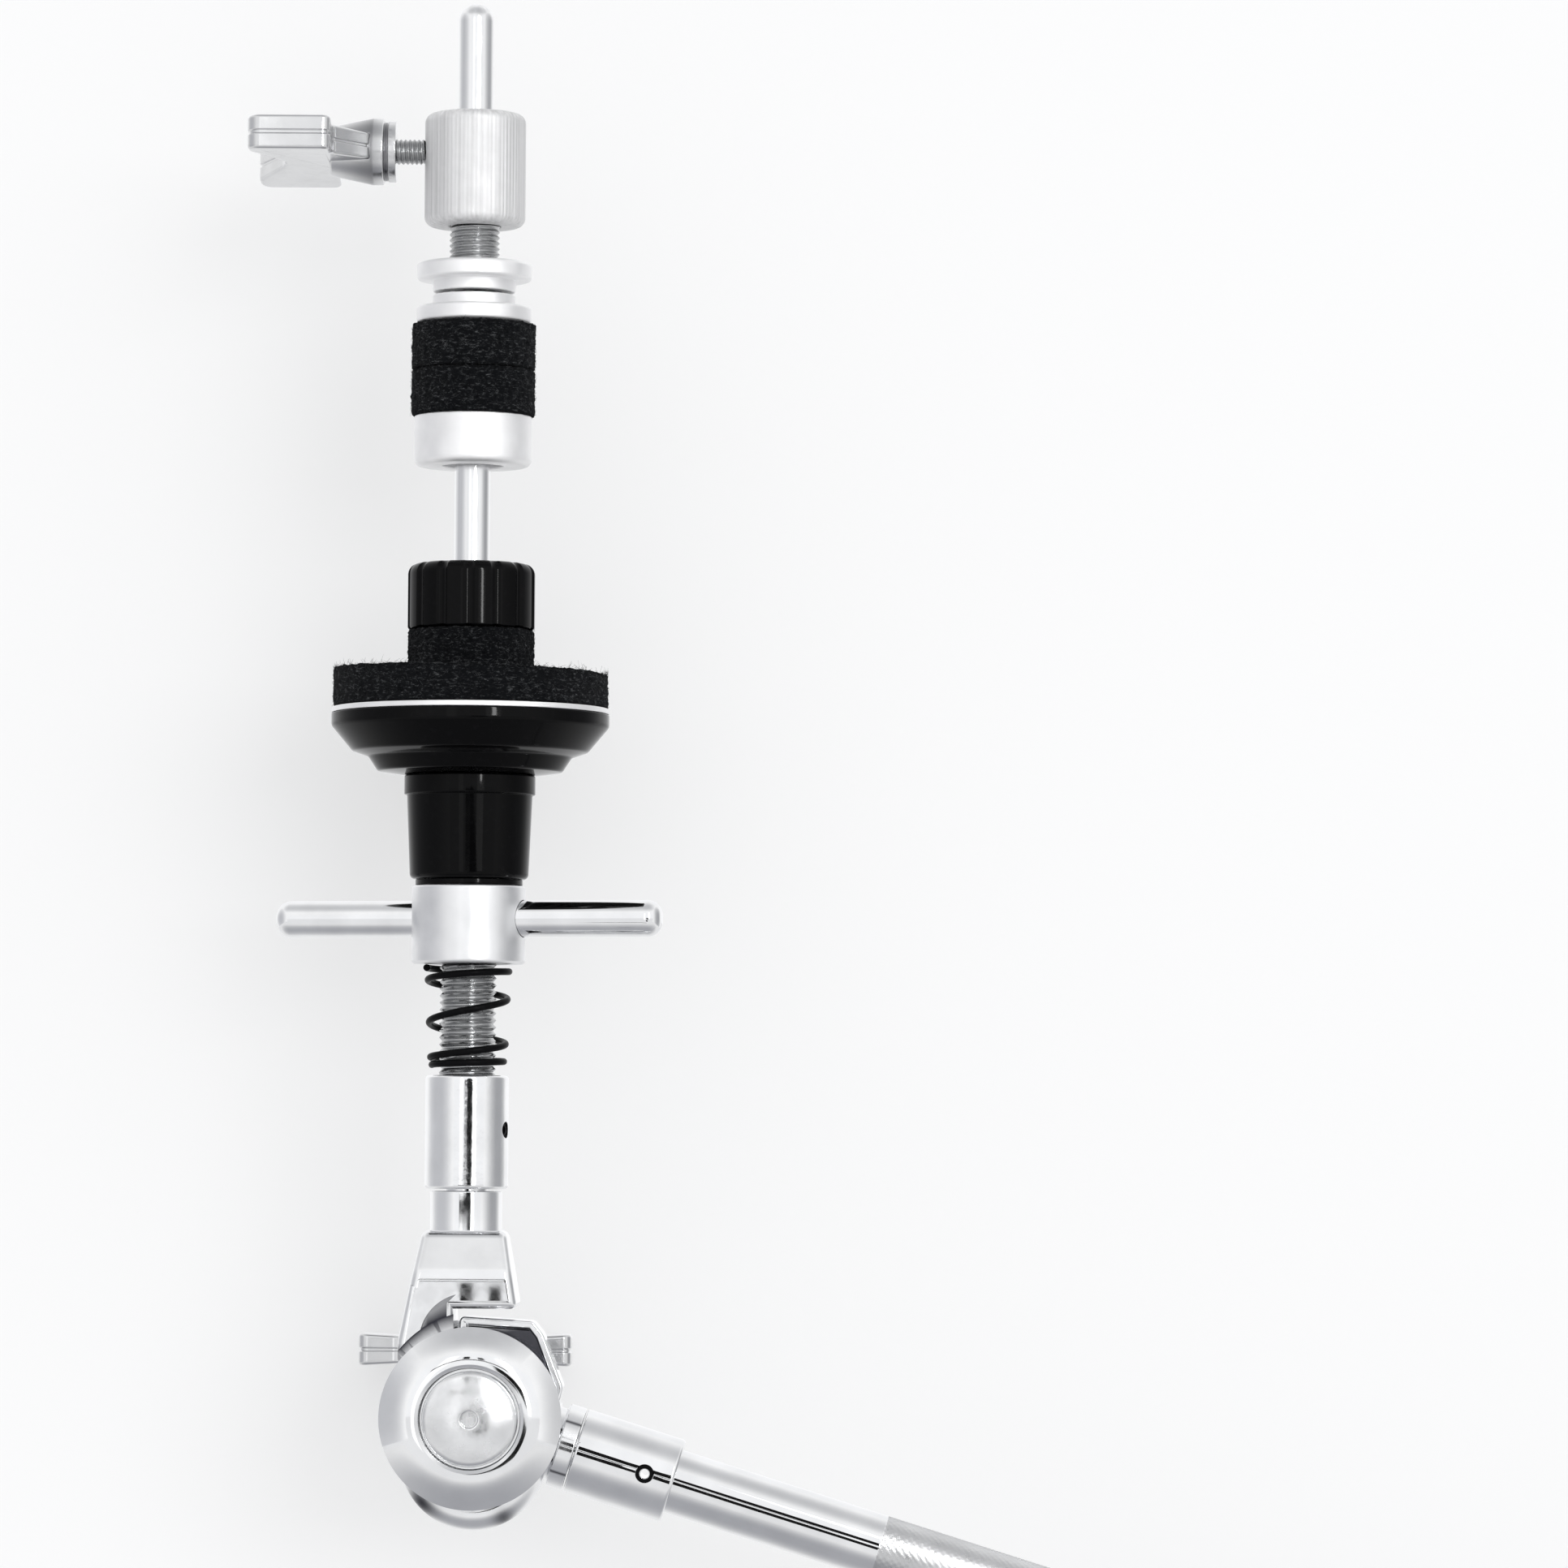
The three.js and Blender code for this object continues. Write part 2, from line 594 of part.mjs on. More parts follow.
function pullRod() {

	const radius = ROD_DIAMETER / 2;
	const base = stemBase + SWING;
	return turned([[0, base], [radius - 0.3, base], [radius, base + 0.3],
		...arcPoints(0, rodTop - radius, radius, 0, Math.PI / 2, 5)]);

}

function threadedStem() {

	const crest = STEM_DIAMETER / 2;
	const bore = ROD_DIAMETER / 2 + FITTED;
	const threadTop = collarBase + 3 * STEM_PITCH;
	return turned([
		[bore, stemBase], [crest - 0.4, stemBase], [crest, stemBase + 0.4], [crest, couplerTop],
		...threadProfile(crest, STEM_THREAD_DEPTH, STEM_PITCH, couplerTop, threadTop),
		[crest, threadTop], [crest, stemTop - 0.5], [crest - 0.5, stemTop], [bore, stemTop], [bore, stemBase]
	]);

}

function coupler() {

	const upperBore = STEM_DIAMETER / 2 + FITTED;
	const lowerBore = STUD_DIAMETER / 2 + FITTED;
	const radius = COUPLER_DIAMETER / 2;
	const step = stemBase - FITTED;
	const blank = turned([
		[lowerBore, couplerBase], [radius - COUPLER_CHAMFER, couplerBase], [radius, couplerBase + COUPLER_CHAMFER],
		[radius, couplerTop - COUPLER_CHAMFER], [radius - COUPLER_CHAMFER, couplerTop], [upperBore, couplerTop],
		[upperBore, step], [lowerBore, step], [lowerBore, couplerBase]
	]);
	const hole = setScrewBlank(SET_SCREW_DIAMETER / 2 + FITTED, 0, COUPLER_DIAMETER);
	return fromManifold(cut(toManifold(blank), hole));

}

function setScrewBlank(radius, start, end) {

	const height = couplerBase + SET_SCREW_HEIGHT;
	return barrel({ radius, base: start, top: end }).rotateY(Math.PI / 2).rotateZ(SET_SCREW_TURN)
		.translate(0, 0, height);

}

// --- Conical tension spring: close coils at both ends, open coils between them

class SpringLine extends THREE.Curve {

	getPoint(t) {

		const low = couplerTop + SEATING + SPRING_WIRE / 2 + 0.6;
		const high = collarBase - SEATING - SPRING_WIRE / 2;
		const opened = THREE.MathUtils.smoothstep(t, 0.22, 0.86);
		const closed = SPRING_WIRE * 1.02 * SPRING_TURNS;
		const height = low + closed * t + (high - low - closed) * opened;
		const top = (SPRING_TOP_DIAMETER - SPRING_WIRE) / 2;
		const bottom = (SPRING_BOTTOM_DIAMETER - SPRING_WIRE) / 2;
		const radius = bottom + (top - bottom) * t;
		const angle = 2 * Math.PI * SPRING_TURNS * t + Math.PI;
		return new THREE.Vector3(radius * Math.cos(angle), radius * Math.sin(angle), height);

	}

}

function tensionSpring() {

	const sides = 6;
	const section = outline(Array.from({ length: sides }, (_, i) => {

		const angle = 2 * Math.PI * i / sides;
		return [SPRING_WIRE / 2 * Math.cos(angle), SPRING_WIRE / 2 * Math.sin(angle)];

	}));
	const steps = Math.round(14 * SPRING_TURNS);
	return new THREE.ExtrudeGeometry(section, { steps, extrudePath: new SpringLine() });

}

// --- Tension nut: collar and its two handles

function tensionCollar() {

	const blank = toManifold(barrel({
		radius: COLLAR_DIAMETER / 2, base: collarBase, top: thrustBase - SEATING,
		bore: boreFor(STEM_DIAMETER / 2), lower: COLLAR_CHAMFER, upper: COLLAR_CHAMFER
	}));
	const inner = COLLAR_DIAMETER / 2 - HANDLE_DEPTH;
	const holes = [0, Math.PI].map((side) => handleBar(HANDLE_DIAMETER / 2 + FITTED, inner, COLLAR_DIAMETER, side));
	return fromManifold(cut(blank, ...holes));

}

function handleBar(radius, start, end, side, domed = false) {

	const tip = domed ? arcPoints(0, end - radius, radius, 0, Math.PI / 2) : [[radius, end], [0, end]];
	return turned([[0, start], [radius, start], ...tip])
		.rotateY(Math.PI / 2).rotateZ(side + HANDLE_TURN).translate(0, 0, collarBase + HANDLE_HEIGHT);

}

// --- Seat for the bottom cymbal

function seatHub() {

	const bottom = HUB_BOTTOM_DIAMETER / 2;
	const top = HUB_TOP_DIAMETER / 2;
	const lip = HUB_LIP_DIAMETER / 2;
	const bore = STEM_DIAMETER / 2 + HUB_PLAY;
	const lipBase = cupBase - HUB_LIP_HEIGHT;
	const pocket = TUBE_FLANGE_DIAMETER / 2 + FITTED;
	const pocketFloor = cupBase - TUBE_FLANGE_HEIGHT - SEATING;
	return turned([
		[bore, hubBase], ...arcPoints(bottom - 1.2, hubBase + 1.2, 1.2, - Math.PI / 2, 0), [top, lipBase],
		[lip - 0.3, lipBase], [lip, lipBase + 0.4], [lip, cupBase - 0.5], [lip - 0.4, cupBase - SEATING],
		[pocket, cupBase - SEATING], [pocket, pocketFloor], [bore, pocketFloor], [bore, hubBase]
	]);

}

function seatCup() {

	const bore = TUBE_DIAMETER / 2 + FITTED;
	const rim = washerBase - SEATING;
	return turned([
		[bore, cupBase], [HUB_LIP_DIAMETER / 2, cupBase], [CUP_FOOT_RADIUS, cupBase + 0.8],
		[CUP_FOOT_RADIUS + 1.9, cupBase + 3.3], [CUP_RADIUS - 3.5, cupBase + 4.4],
		[CUP_RADIUS, rim - CUP_RIM], [CUP_RADIUS, rim - 0.3], [CUP_RADIUS - 0.3, rim], [bore, rim], [bore, cupBase]
	], WIDE_SIDES);

}

function seatTube() {

	const radius = TUBE_DIAMETER / 2;
	const flange = TUBE_FLANGE_DIAMETER / 2;
	const base = cupBase - TUBE_FLANGE_HEIGHT;
	const top = knobTop - KNOB_ROOF - SWING;
	return turned([
		[TUBE_BORE / 2, base], [flange, base], [flange, cupBase - SEATING], [radius, cupBase - SEATING],
		[radius, top - 0.4], [radius - 0.4, top], [TUBE_BORE / 2, top], [TUBE_BORE / 2, base]
	]);

}

// A flat ring that lies on the piece below it and leaves play for the one above it

function layer(diameter, base, thickness, bore, edge, segments = SIDES) {

	return barrel({
		radius: diameter / 2, base, top: base + thickness - SEATING, bore, lower: edge, upper: edge, segments
	});

}

function knob() {

	const radius = KNOB_DIAMETER / 2;
	const cavity = boreFor(INSERT_DIAMETER / 2);
	const roof = knobTop - KNOB_ROOF;
	const roofHole = ROD_DIAMETER / 2 + 2 * FITTED;
	const blank = turned([
		[cavity, knobBase], [radius - 0.5, knobBase], [radius, knobBase + 0.5],
		...arcPoints(radius - KNOB_EDGE, knobTop - KNOB_EDGE, KNOB_EDGE, 0, Math.PI / 2),
		[roofHole, knobTop], [roofHole, roof], [cavity, roof], [cavity, knobBase]
	], 42);
	const flutes = Array.from({ length: KNOB_FLUTES }, (_, i) => {

		const angle = 2 * Math.PI * (i + 0.5) / KNOB_FLUTES;
		const reach = radius + FLUTE_RADIUS * 0.45;
		return barrel({ radius: FLUTE_RADIUS, base: knobBase - 1, top: knobTop + 1, segments: 8 })
			.translate(reach * Math.cos(angle), reach * Math.sin(angle), 0);

	});
	return fromManifold(cut(toManifold(blank), ...flutes));

}

function knobInsert() {

	const top = knobTop - KNOB_ROOF - SWING;
	return barrel({
		radius: INSERT_DIAMETER / 2, bore: boreFor(TUBE_DIAMETER / 2), base: knobBase + SEATING, top, lower: 0.3
	});

}

// --- Clutch

function clutchTube() {

	const crest = CLUTCH_TUBE_DIAMETER / 2;
	const base = bottomNutBase + BOTTOM_NUT_RECESS - 0.5;
	const top = clutchBodyBase + TUBE_INTO_BODY;
	const thread = (from, to) => threadProfile(crest, CLUTCH_THREAD_DEPTH, CLUTCH_PITCH, from, to);
	const bore = boreFor(ROD_DIAMETER / 2);
	return turned([
		[bore, base], [crest - 0.4, base], [crest, base + 0.4],
		...thread(upperFeltBase - 5, upperFeltBase + 1), [crest, upperFeltBase + 1],
		[crest, clutchTubeExposedBase - 1],
		...thread(clutchTubeExposedBase - 1, clutchBodyBase - 1), [crest, clutchBodyBase - 0.8],
		[crest, top], [bore, top], [bore, base]
	]);

}

function bottomNut() {

	const radius = BOTTOM_NUT_DIAMETER / 2;
	const bore = boreFor(CLUTCH_TUBE_DIAMETER / 2);
	const top = lowerFeltBase - SEATING;
	const recess = bore + 0.9;
	const ceiling = bottomNutBase + BOTTOM_NUT_RECESS;
	return turned([
		[recess, bottomNutBase],
		...arcPoints(radius - BOTTOM_NUT_EDGE, bottomNutBase + BOTTOM_NUT_EDGE, BOTTOM_NUT_EDGE, - Math.PI / 2, 0),
		[radius, top - 0.4], [radius - 0.4, top], [bore, top], [bore, ceiling], [recess, ceiling],
		[recess, bottomNutBase]
	]);

}

// A flanged lock nut; the upper one stands flange up, the lower one flange down

function lockNut(base, flangeUp) {

	const height = LOCK_FLANGE_HEIGHT + LOCK_HUB_HEIGHT - SEATING;
	const flange = LOCK_FLANGE_DIAMETER / 2;
	const hub = LOCK_HUB_DIAMETER / 2;
	const bore = boreFor(CLUTCH_TUBE_DIAMETER / 2);
	const level = (z) => flangeUp ? base + height - z : base + z;
	const profile = [
		[bore, 0], [flange - 0.8, 0], [flange, 0.8], [flange, LOCK_FLANGE_HEIGHT - 0.6],
		[flange - 0.6, LOCK_FLANGE_HEIGHT], [hub, LOCK_FLANGE_HEIGHT], [hub, height - 0.4], [hub - 0.4, height],
		[bore, height], [bore, 0]
	].map(([radius, z]) => [radius, level(z)]);
	if (flangeUp) profile.reverse();
	return turned(profile);

}

function clutchBody() {

	const radius = CLUTCH_BODY_DIAMETER / 2;
	const tubeBore = CLUTCH_TUBE_DIAMETER / 2 + FITTED;
	const bore = boreFor(ROD_DIAMETER / 2);
	const step = clutchBodyBase + TUBE_INTO_BODY + FITTED;
	const edge = CLUTCH_BODY_EDGE;
	const blank = turned([
		[tubeBore, clutchBodyBase],
		...arcPoints(radius - edge, clutchBodyBase + edge, edge, - Math.PI / 2, 0),
		...arcPoints(radius - edge, clutchBodyTop - edge, edge, 0, Math.PI / 2),
		[bore, clutchBodyTop], [bore, step], [tubeBore, step], [tubeBore, clutchBodyBase]
	]);
	const hole = barrel({ radius: boreFor(CLUTCH_SCREW_DIAMETER / 2), base: 0, top: CLUTCH_BODY_DIAMETER })
		.rotateY(- Math.PI / 2).translate(0, 0, clutchBodyBase + CLUTCH_SCREW_HEIGHT);
	return fromManifold(cut(toManifold(blank), hole));

}

// --- Assembly

const root = new THREE.Group();
const grip = new THREE.Vector3(Math.cos(ARM_SLOPE), 0, - Math.sin(ARM_SLOPE)).multiplyScalar(GRIP_FROM_PIVOT);
root.position.set(- PIVOT_OFFSET - grip.x, 0, - grip.z);

const pivotGroup = new THREE.Group();
pivotGroup.position.x = PIVOT_OFFSET;
root.add(pivotGroup);

const armGroup = new THREE.Group();
armGroup.rotation.y = Math.PI / 2 + ARM_SLOPE;
armGroup.add(...armPieces());
pivotGroup.add(armGroup);
pivotGroup.add(piece('tilter_lower_casting', lowerCasting(), chrome));
pivotGroup.add(piece('tilter_upper_casting', upperCasting(), chrome));

const frontGroup = new THREE.Group();
frontGroup.rotation.x = Math.PI / 2;
const capFace = frontFace + SEATING;
const boltSeat = capFace + CAP_FLOOR + SEATING;
const washerStart = rearFace + SEATING;
const nutStart = washerStart + PIVOT_WASHER + SEATING;
const boltTail = - (nutStart + PIVOT_NUT_HEIGHT + 0.4);
frontGroup.add(piece('pivot_bush', bush(), nylon));
frontGroup.add(piece('pivot_cap_disc', capDisc(capFace), chrome));
frontGroup.add(piece('pivot_bolt', pivotBolt(boltSeat, boltTail), chrome));
pivotGroup.add(frontGroup);

const pivotWasher = barrel({
	radius: PIVOT_WASHER_RADIUS, bore: PIVOT_DIAMETER / 2 + FITTED, base: washerStart,
	top: washerStart + PIVOT_WASHER, lower: 0.2, upper: 0.2
}).rotateX(- Math.PI / 2);
pivotGroup.add(piece('pivot_washer', pivotWasher, steel));
pivotGroup.add(piece('pivot_nut', pivotNut(nutStart), steel));

const brakeGroup = new THREE.Group();
brakeGroup.rotation.x = - Math.PI / 2;
brakeGroup.position.set(- BRAKE_OFFSET, 0, BRAKE_HEIGHT);
const brakeWingBase = rearFace + BRAKE_SCREW_EXPOSED;
const pad = padPlace();
const brakePad = barrel({ radius: PAD_DIAMETER / 2, base: pad.front, top: pad.rear, lower: 0.3 });
const brakeScrewEnd = brakeWingBase + BRAKE_WING.socket - SWING;
const brakeScrew = screwShank(BRAKE_SCREW_DIAMETER / 2, pad.rear + SEATING, brakeScrewEnd);
const brakeWing = wing(BRAKE_SCREW_DIAMETER / 2, BRAKE_WING);
const brakeWingMesh = piece('brake_wing', brakeWing, chrome);
brakeWingMesh.position.z = brakeWingBase;
brakeGroup.add(piece('brake_pad', brakePad, nylon), piece('brake_screw', brakeScrew, steel), brakeWingMesh);
root.add(brakeGroup);

root.add(piece('coupler', coupler(), chrome));
const setScrewStart = STEM_DIAMETER / 2 + SEATING;
const setScrew = setScrewBlank(SET_SCREW_DIAMETER / 2, setScrewStart, COUPLER_DIAMETER / 2 - 0.4);
root.add(piece('coupler_set_screw', setScrew, steel));
root.add(piece('threaded_stem', threadedStem(), steel));
root.add(piece('pull_rod', pullRod(), chrome));
root.add(piece('tension_spring', tensionSpring(), blackWire));

root.add(piece('tension_collar', tensionCollar(), aluminium));
for (const [name, side] of [['tension_handle_near', 0], ['tension_handle_far', Math.PI]]) {

	const start = COLLAR_DIAMETER / 2 - HANDLE_DEPTH + SWING;
	root.add(piece(name, handleBar(HANDLE_DIAMETER / 2, start, HANDLE_REACH, side, true), chrome));

}

const tubeFit = TUBE_DIAMETER / 2 + FITTED;
const stemFit = STEM_DIAMETER / 2 + HUB_PLAY;
const thrustRing = layer(THRUST_DIAMETER, thrustBase, THRUST_HEIGHT, stemFit, 0.2);
root.add(piece('thrust_ring', thrustRing, blackPlastic));
root.add(piece('seat_hub', seatHub(), blackPlastic));
root.add(piece('seat_cup', seatCup(), blackPlastic));
const seatWasher = layer(WASHER_DIAMETER, washerBase, WASHER_THICKNESS, tubeFit, 0.2, WIDE_SIDES);
root.add(piece('seat_washer', seatWasher, steel));
const largeFelt = layer(LARGE_FELT_DIAMETER, largeFeltBase, LARGE_FELT_THICKNESS, tubeFit, 0.6, WIDE_SIDES);
root.add(piece('seat_large_felt', largeFelt, felt));
root.add(piece('seat_tube', seatTube(), steel));
const smallFelt = layer(SMALL_FELT_DIAMETER, smallFeltBase, SMALL_FELT_THICKNESS, tubeFit, 0.5);
root.add(piece('seat_small_felt', smallFelt, felt));
root.add(piece('seat_knob', knob(), blackPlastic));
root.add(piece('seat_knob_insert', knobInsert(), brass));

const clutchFit = CLUTCH_TUBE_DIAMETER / 2 + FITTED;
root.add(piece('clutch_bottom_nut', bottomNut(), aluminium));
for (const [name, base] of [['clutch_lower_felt', lowerFeltBase], ['clutch_upper_felt', upperFeltBase]]) {

	root.add(piece(name, layer(CLUTCH_FELT_DIAMETER, base, CLUTCH_FELT_THICKNESS, clutchFit, 0.4), felt));

}
root.add(piece('clutch_lower_lock_nut', lockNut(lowerLockBase, false), aluminium));
root.add(piece('clutch_upper_lock_nut', lockNut(upperLockBase, true), aluminium));
root.add(piece('clutch_tube', clutchTube(), aluminium));
root.add(piece('clutch_body', clutchBody(), aluminium));

const clutchScrewGroup = new THREE.Group();
clutchScrewGroup.rotation.y = - Math.PI / 2;
clutchScrewGroup.position.z = clutchBodyBase + CLUTCH_SCREW_HEIGHT;
const clutchWingBase = CLUTCH_BODY_DIAMETER / 2 + CLUTCH_SCREW_EXPOSED;
const screwTip = ROD_DIAMETER / 2 + SEATING;
const clutchScrewEnd = clutchWingBase + CLUTCH_WING.socket - SWING;
const clutchScrew = screwShank(CLUTCH_SCREW_DIAMETER / 2, screwTip, clutchScrewEnd);
const clutchWing = wing(CLUTCH_SCREW_DIAMETER / 2, CLUTCH_WING);
clutchWing.rotateZ(Math.PI / 2 + CLUTCH_WING_TURN);
const clutchWingMesh = piece('clutch_wing', clutchWing, chrome);
clutchWingMesh.position.z = clutchWingBase;
clutchScrewGroup.add(piece('clutch_screw', clutchScrew, steel), clutchWingMesh);
root.add(clutchScrewGroup);

export default root;
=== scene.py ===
"""Closed hi-hat boom arm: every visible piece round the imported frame, with its finish, stage and camera."""

import math
from collections import namedtuple

import bpy
import numpy as np
from mathutils import Matrix, Vector


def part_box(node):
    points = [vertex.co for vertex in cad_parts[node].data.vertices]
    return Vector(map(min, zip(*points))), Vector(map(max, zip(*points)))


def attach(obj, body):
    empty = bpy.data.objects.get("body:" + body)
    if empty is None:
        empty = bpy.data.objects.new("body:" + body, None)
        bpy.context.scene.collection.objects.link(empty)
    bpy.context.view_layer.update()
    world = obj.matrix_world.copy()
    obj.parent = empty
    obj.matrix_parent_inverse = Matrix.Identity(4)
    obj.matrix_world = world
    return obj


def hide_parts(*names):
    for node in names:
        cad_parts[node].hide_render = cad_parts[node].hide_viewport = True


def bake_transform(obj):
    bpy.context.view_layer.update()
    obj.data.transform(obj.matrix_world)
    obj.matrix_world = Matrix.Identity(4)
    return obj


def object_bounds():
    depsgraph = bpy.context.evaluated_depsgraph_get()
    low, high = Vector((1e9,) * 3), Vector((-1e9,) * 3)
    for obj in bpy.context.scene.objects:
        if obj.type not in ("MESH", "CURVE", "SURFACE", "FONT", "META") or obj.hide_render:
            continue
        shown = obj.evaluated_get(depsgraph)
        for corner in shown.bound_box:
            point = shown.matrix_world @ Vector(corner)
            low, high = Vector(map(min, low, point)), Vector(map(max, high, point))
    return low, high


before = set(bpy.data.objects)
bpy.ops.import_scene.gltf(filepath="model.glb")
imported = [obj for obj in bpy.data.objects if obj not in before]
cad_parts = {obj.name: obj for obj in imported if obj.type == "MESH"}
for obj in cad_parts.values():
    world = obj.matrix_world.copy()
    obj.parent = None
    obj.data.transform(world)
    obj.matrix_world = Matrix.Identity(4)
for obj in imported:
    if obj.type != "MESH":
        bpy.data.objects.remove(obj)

bl_info = {
    "name": "Closed Hi-Hat Boom Arm",
    "version": (1, 0, 0),
    "blender": (4, 5, 0),
    "location": "View3D > Sidebar > Hi-Hat Arm",
    "description": "Makes the pieces of a closed hi-hat boom arm round its frame",
    "category": "Add Mesh",
}

MM = 0.001
FRAME_BOX = [list(corner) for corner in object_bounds()]
FULL_TURN = 2 * math.pi
SHARP = math.radians(32)
ARC_STEP = math.radians(11)
WALL_BEHIND = 41 * MM
FLOOR_BELOW = 0.3
SKY = 1.08
VIEW_ANGLE = math.radians(12.25)
VIEW_ROLL = math.radians(0.38)
AIM_FROM_PIVOT = (56.4 * MM, 113.6 * MM)
EYE_FROM_AIM = (0, -1.31, -0.0707)
SUN_STRENGTH, SUN_WIDTH = 0.6, math.radians(35)

# ------------------------------------------------------------------ places taken from the frame

Axis = namedtuple("Axis", "origin turn")
Extent = namedtuple("Extent", "start end radius")


def vectors(collection, attribute):
    """An attribute of a mesh's vertices or faces, one vector a row."""
    values = np.empty(len(collection) * 3)
    collection.foreach_get(attribute, values)
    return values.reshape(-1, 3)


def middle(node):
    """Centre of a node's box."""
    low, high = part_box(node)
    return (np.array(low) + np.array(high)) / 2


def axis(origin, along, across=(1, 0, 0)):
    """A local frame whose third direction is along, and whose first is across made square to it."""
    along = np.array(along, float) / np.linalg.norm(along)
    across = np.array(across, float)
    across = across - along * (across @ along)
    across /= np.linalg.norm(across)
    return Axis(np.array(origin, float), np.stack([across, np.cross(along, across), along], axis=1))


def extent(node, place):
    """How far a node reaches along a local axis, and its largest radius round it."""
    local = (vectors(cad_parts[node].data.vertices, "co") - place.origin) @ place.turn
    return Extent(local[:, 2].min(), local[:, 2].max(), np.hypot(local[:, 0], local[:, 1]).max())


ROD = axis((middle("pull_rod")[0], 0, 0), (0, 0, 1))
PIVOT = axis(middle("pivot_cap_disc") * (1, 0, 1), (0, -1, 0))
ARM = axis(PIVOT.origin, middle("arm_roll_pin") - PIVOT.origin, (0, -1, 0))
PIN = axis(middle("arm_roll_pin"), (0, -1, 0))
CLUTCH_SCREW = axis((ROD.origin[0], 0, middle("clutch_screw")[2]), (-1, 0, 0), (0, 1, 0))
BRAKE_SCREW = axis(middle("brake_screw") * (1, 0, 1), (0, 1, 0))
SET_SCREW = axis(
    (ROD.origin[0], 0, middle("coupler_set_screw")[2]),
    (middle("coupler_set_screw") - ROD.origin) * (1, 1, 0),
    (0, 0, 1),
)
NEAR_HANDLE = axis(
    (ROD.origin[0], 0, middle("tension_handle_near")[2]),
    (middle("tension_handle_near") - ROD.origin) * (1, 1, 0),
    (0, 0, 1),
)
FAR_HANDLE = axis(NEAR_HANDLE.origin, -NEAR_HANDLE.turn[:, 2], (0, 0, 1))


# ------------------------------------------------------------------ sizes and colours

def length(name, description, default):
    """A length property, in metres."""
    return bpy.props.FloatProperty(
        name=name, description=description, default=default, min=0, precision=6, unit="LENGTH"
    )


def count(name, description, default):
    """A whole number property."""
    return bpy.props.IntProperty(name=name, description=description, default=default, min=1)


def colour(name, description, default):
    """A colour property."""
    return bpy.props.FloatVectorProperty(
        name=name, description=description, default=default, min=0, max=1, subtype="COLOR"
    )


class HiHatArmSizes(bpy.types.PropertyGroup):
    """Sizes of the fine detail, over and above the frame's own sizes."""

    edge: length("Edge", "Rounding of a turned edge", 0.3 * MM)
    play: length("Play", "Gap between rounds that pass through each other", 0.08 * MM)
    stem_pitch: length("Stem Pitch", "Thread pitch of the stem", 1.25 * MM)
    stem_depth: length("Stem Thread Depth", "Thread depth of the stem", 0.5 * MM)
    tube_pitch: length("Clutch Tube Pitch", "Thread pitch of the clutch tube", 1.0 * MM)
    tube_depth: length("Clutch Thread Depth", "Thread depth of the clutch tube", 0.38 * MM)
    screw_pitch: length("Screw Pitch", "Thread pitch of the wing screws", 0.8 * MM)
    screw_depth: length("Screw Thread Depth", "Thread depth of the wing screws", 0.3 * MM)
    knurl_start: length("Knurl Start", "Knurl's start, past the sleeve's far end", 38.5 * MM)
    knurl_length: length("Knurl Length", "Length of the knurled stretch", 160 * MM)
    knurl_depth: length("Knurl Depth", "Depth of the diamond knurl", 0.15 * MM)
    knurl_rows: count("Knurl Rows", "Diamonds along the arm", 114)
    knurl_around: count("Knurl Around", "Diamonds round the arm", 32)
    flutes: count("Flutes", "Flutes round the knob", 14)
    flute_depth: length("Flute Depth", "Depth of the knob's flutes", 0.45 * MM)
    line_count: count("Lines", "Fine lines round the clutch body", 72)
    line_depth: length("Line Depth", "Depth of the clutch body's fine lines", 0.07 * MM)
    wire: length("Spring Wire", "Diameter of the tension spring's wire", 1.25 * MM)
    spring_turns: bpy.props.FloatProperty(name="Spring Turns", description="Turns of the spring", default=4)
    nap: length("Nap", "Unevenness of the felts' faces", 0.22 * MM)
    fibre_length: length("Fibre Length", "Longest loose fibre on a felt", 1.7 * MM)
    fibre_width: length("Fibre Width", "Width of a loose fibre", 0.06 * MM)


class HiHatArmColours(bpy.types.PropertyGroup):
    """Colours of the finishes."""

    chrome: colour("Chrome", "Chrome plate", (0.87, 0.875, 0.885))
    satin: colour("Satin Chrome", "Satin chrome", (0.83, 0.835, 0.845))
    aluminium: colour("Aluminium", "Turned aluminium", (0.94, 0.94, 0.945))
    steel: colour("Steel", "Zinc plated steel", (0.42, 0.425, 0.43))
    brass: colour("Brass", "Turned brass", (0.69, 0.55, 0.29))
    plastic: colour("Black Plastic", "Glossy moulded plastic", (0.002, 0.002, 0.0022))
    wire: colour("Black Wire", "Black spring wire", (0.004, 0.004, 0.0045))
    felt: colour("Felt", "Pressed wool felt", (0.004, 0.0045, 0.0055))
    lint: colour("Lint", "Loose fibres on the felt", (0.13, 0.135, 0.14))
    nylon: colour("Nylon", "Nylon bushes and pads", (0.04, 0.04, 0.042))
    stage: colour("Stage", "Floor and background", (0.913, 0.913, 0.913))


def sizes():
    """The fine sizes as set in the sidebar."""
    return bpy.context.scene.hihat_arm_sizes


def colours():
    """The colours as set in the sidebar."""
    return bpy.context.scene.hihat_arm_colours


# ------------------------------------------------------------------ finishes

# Name of the point attribute that holds painted shade: shade and dark reflections painted into a piece's
# colour.
PAINTED_SHADE = "grime"


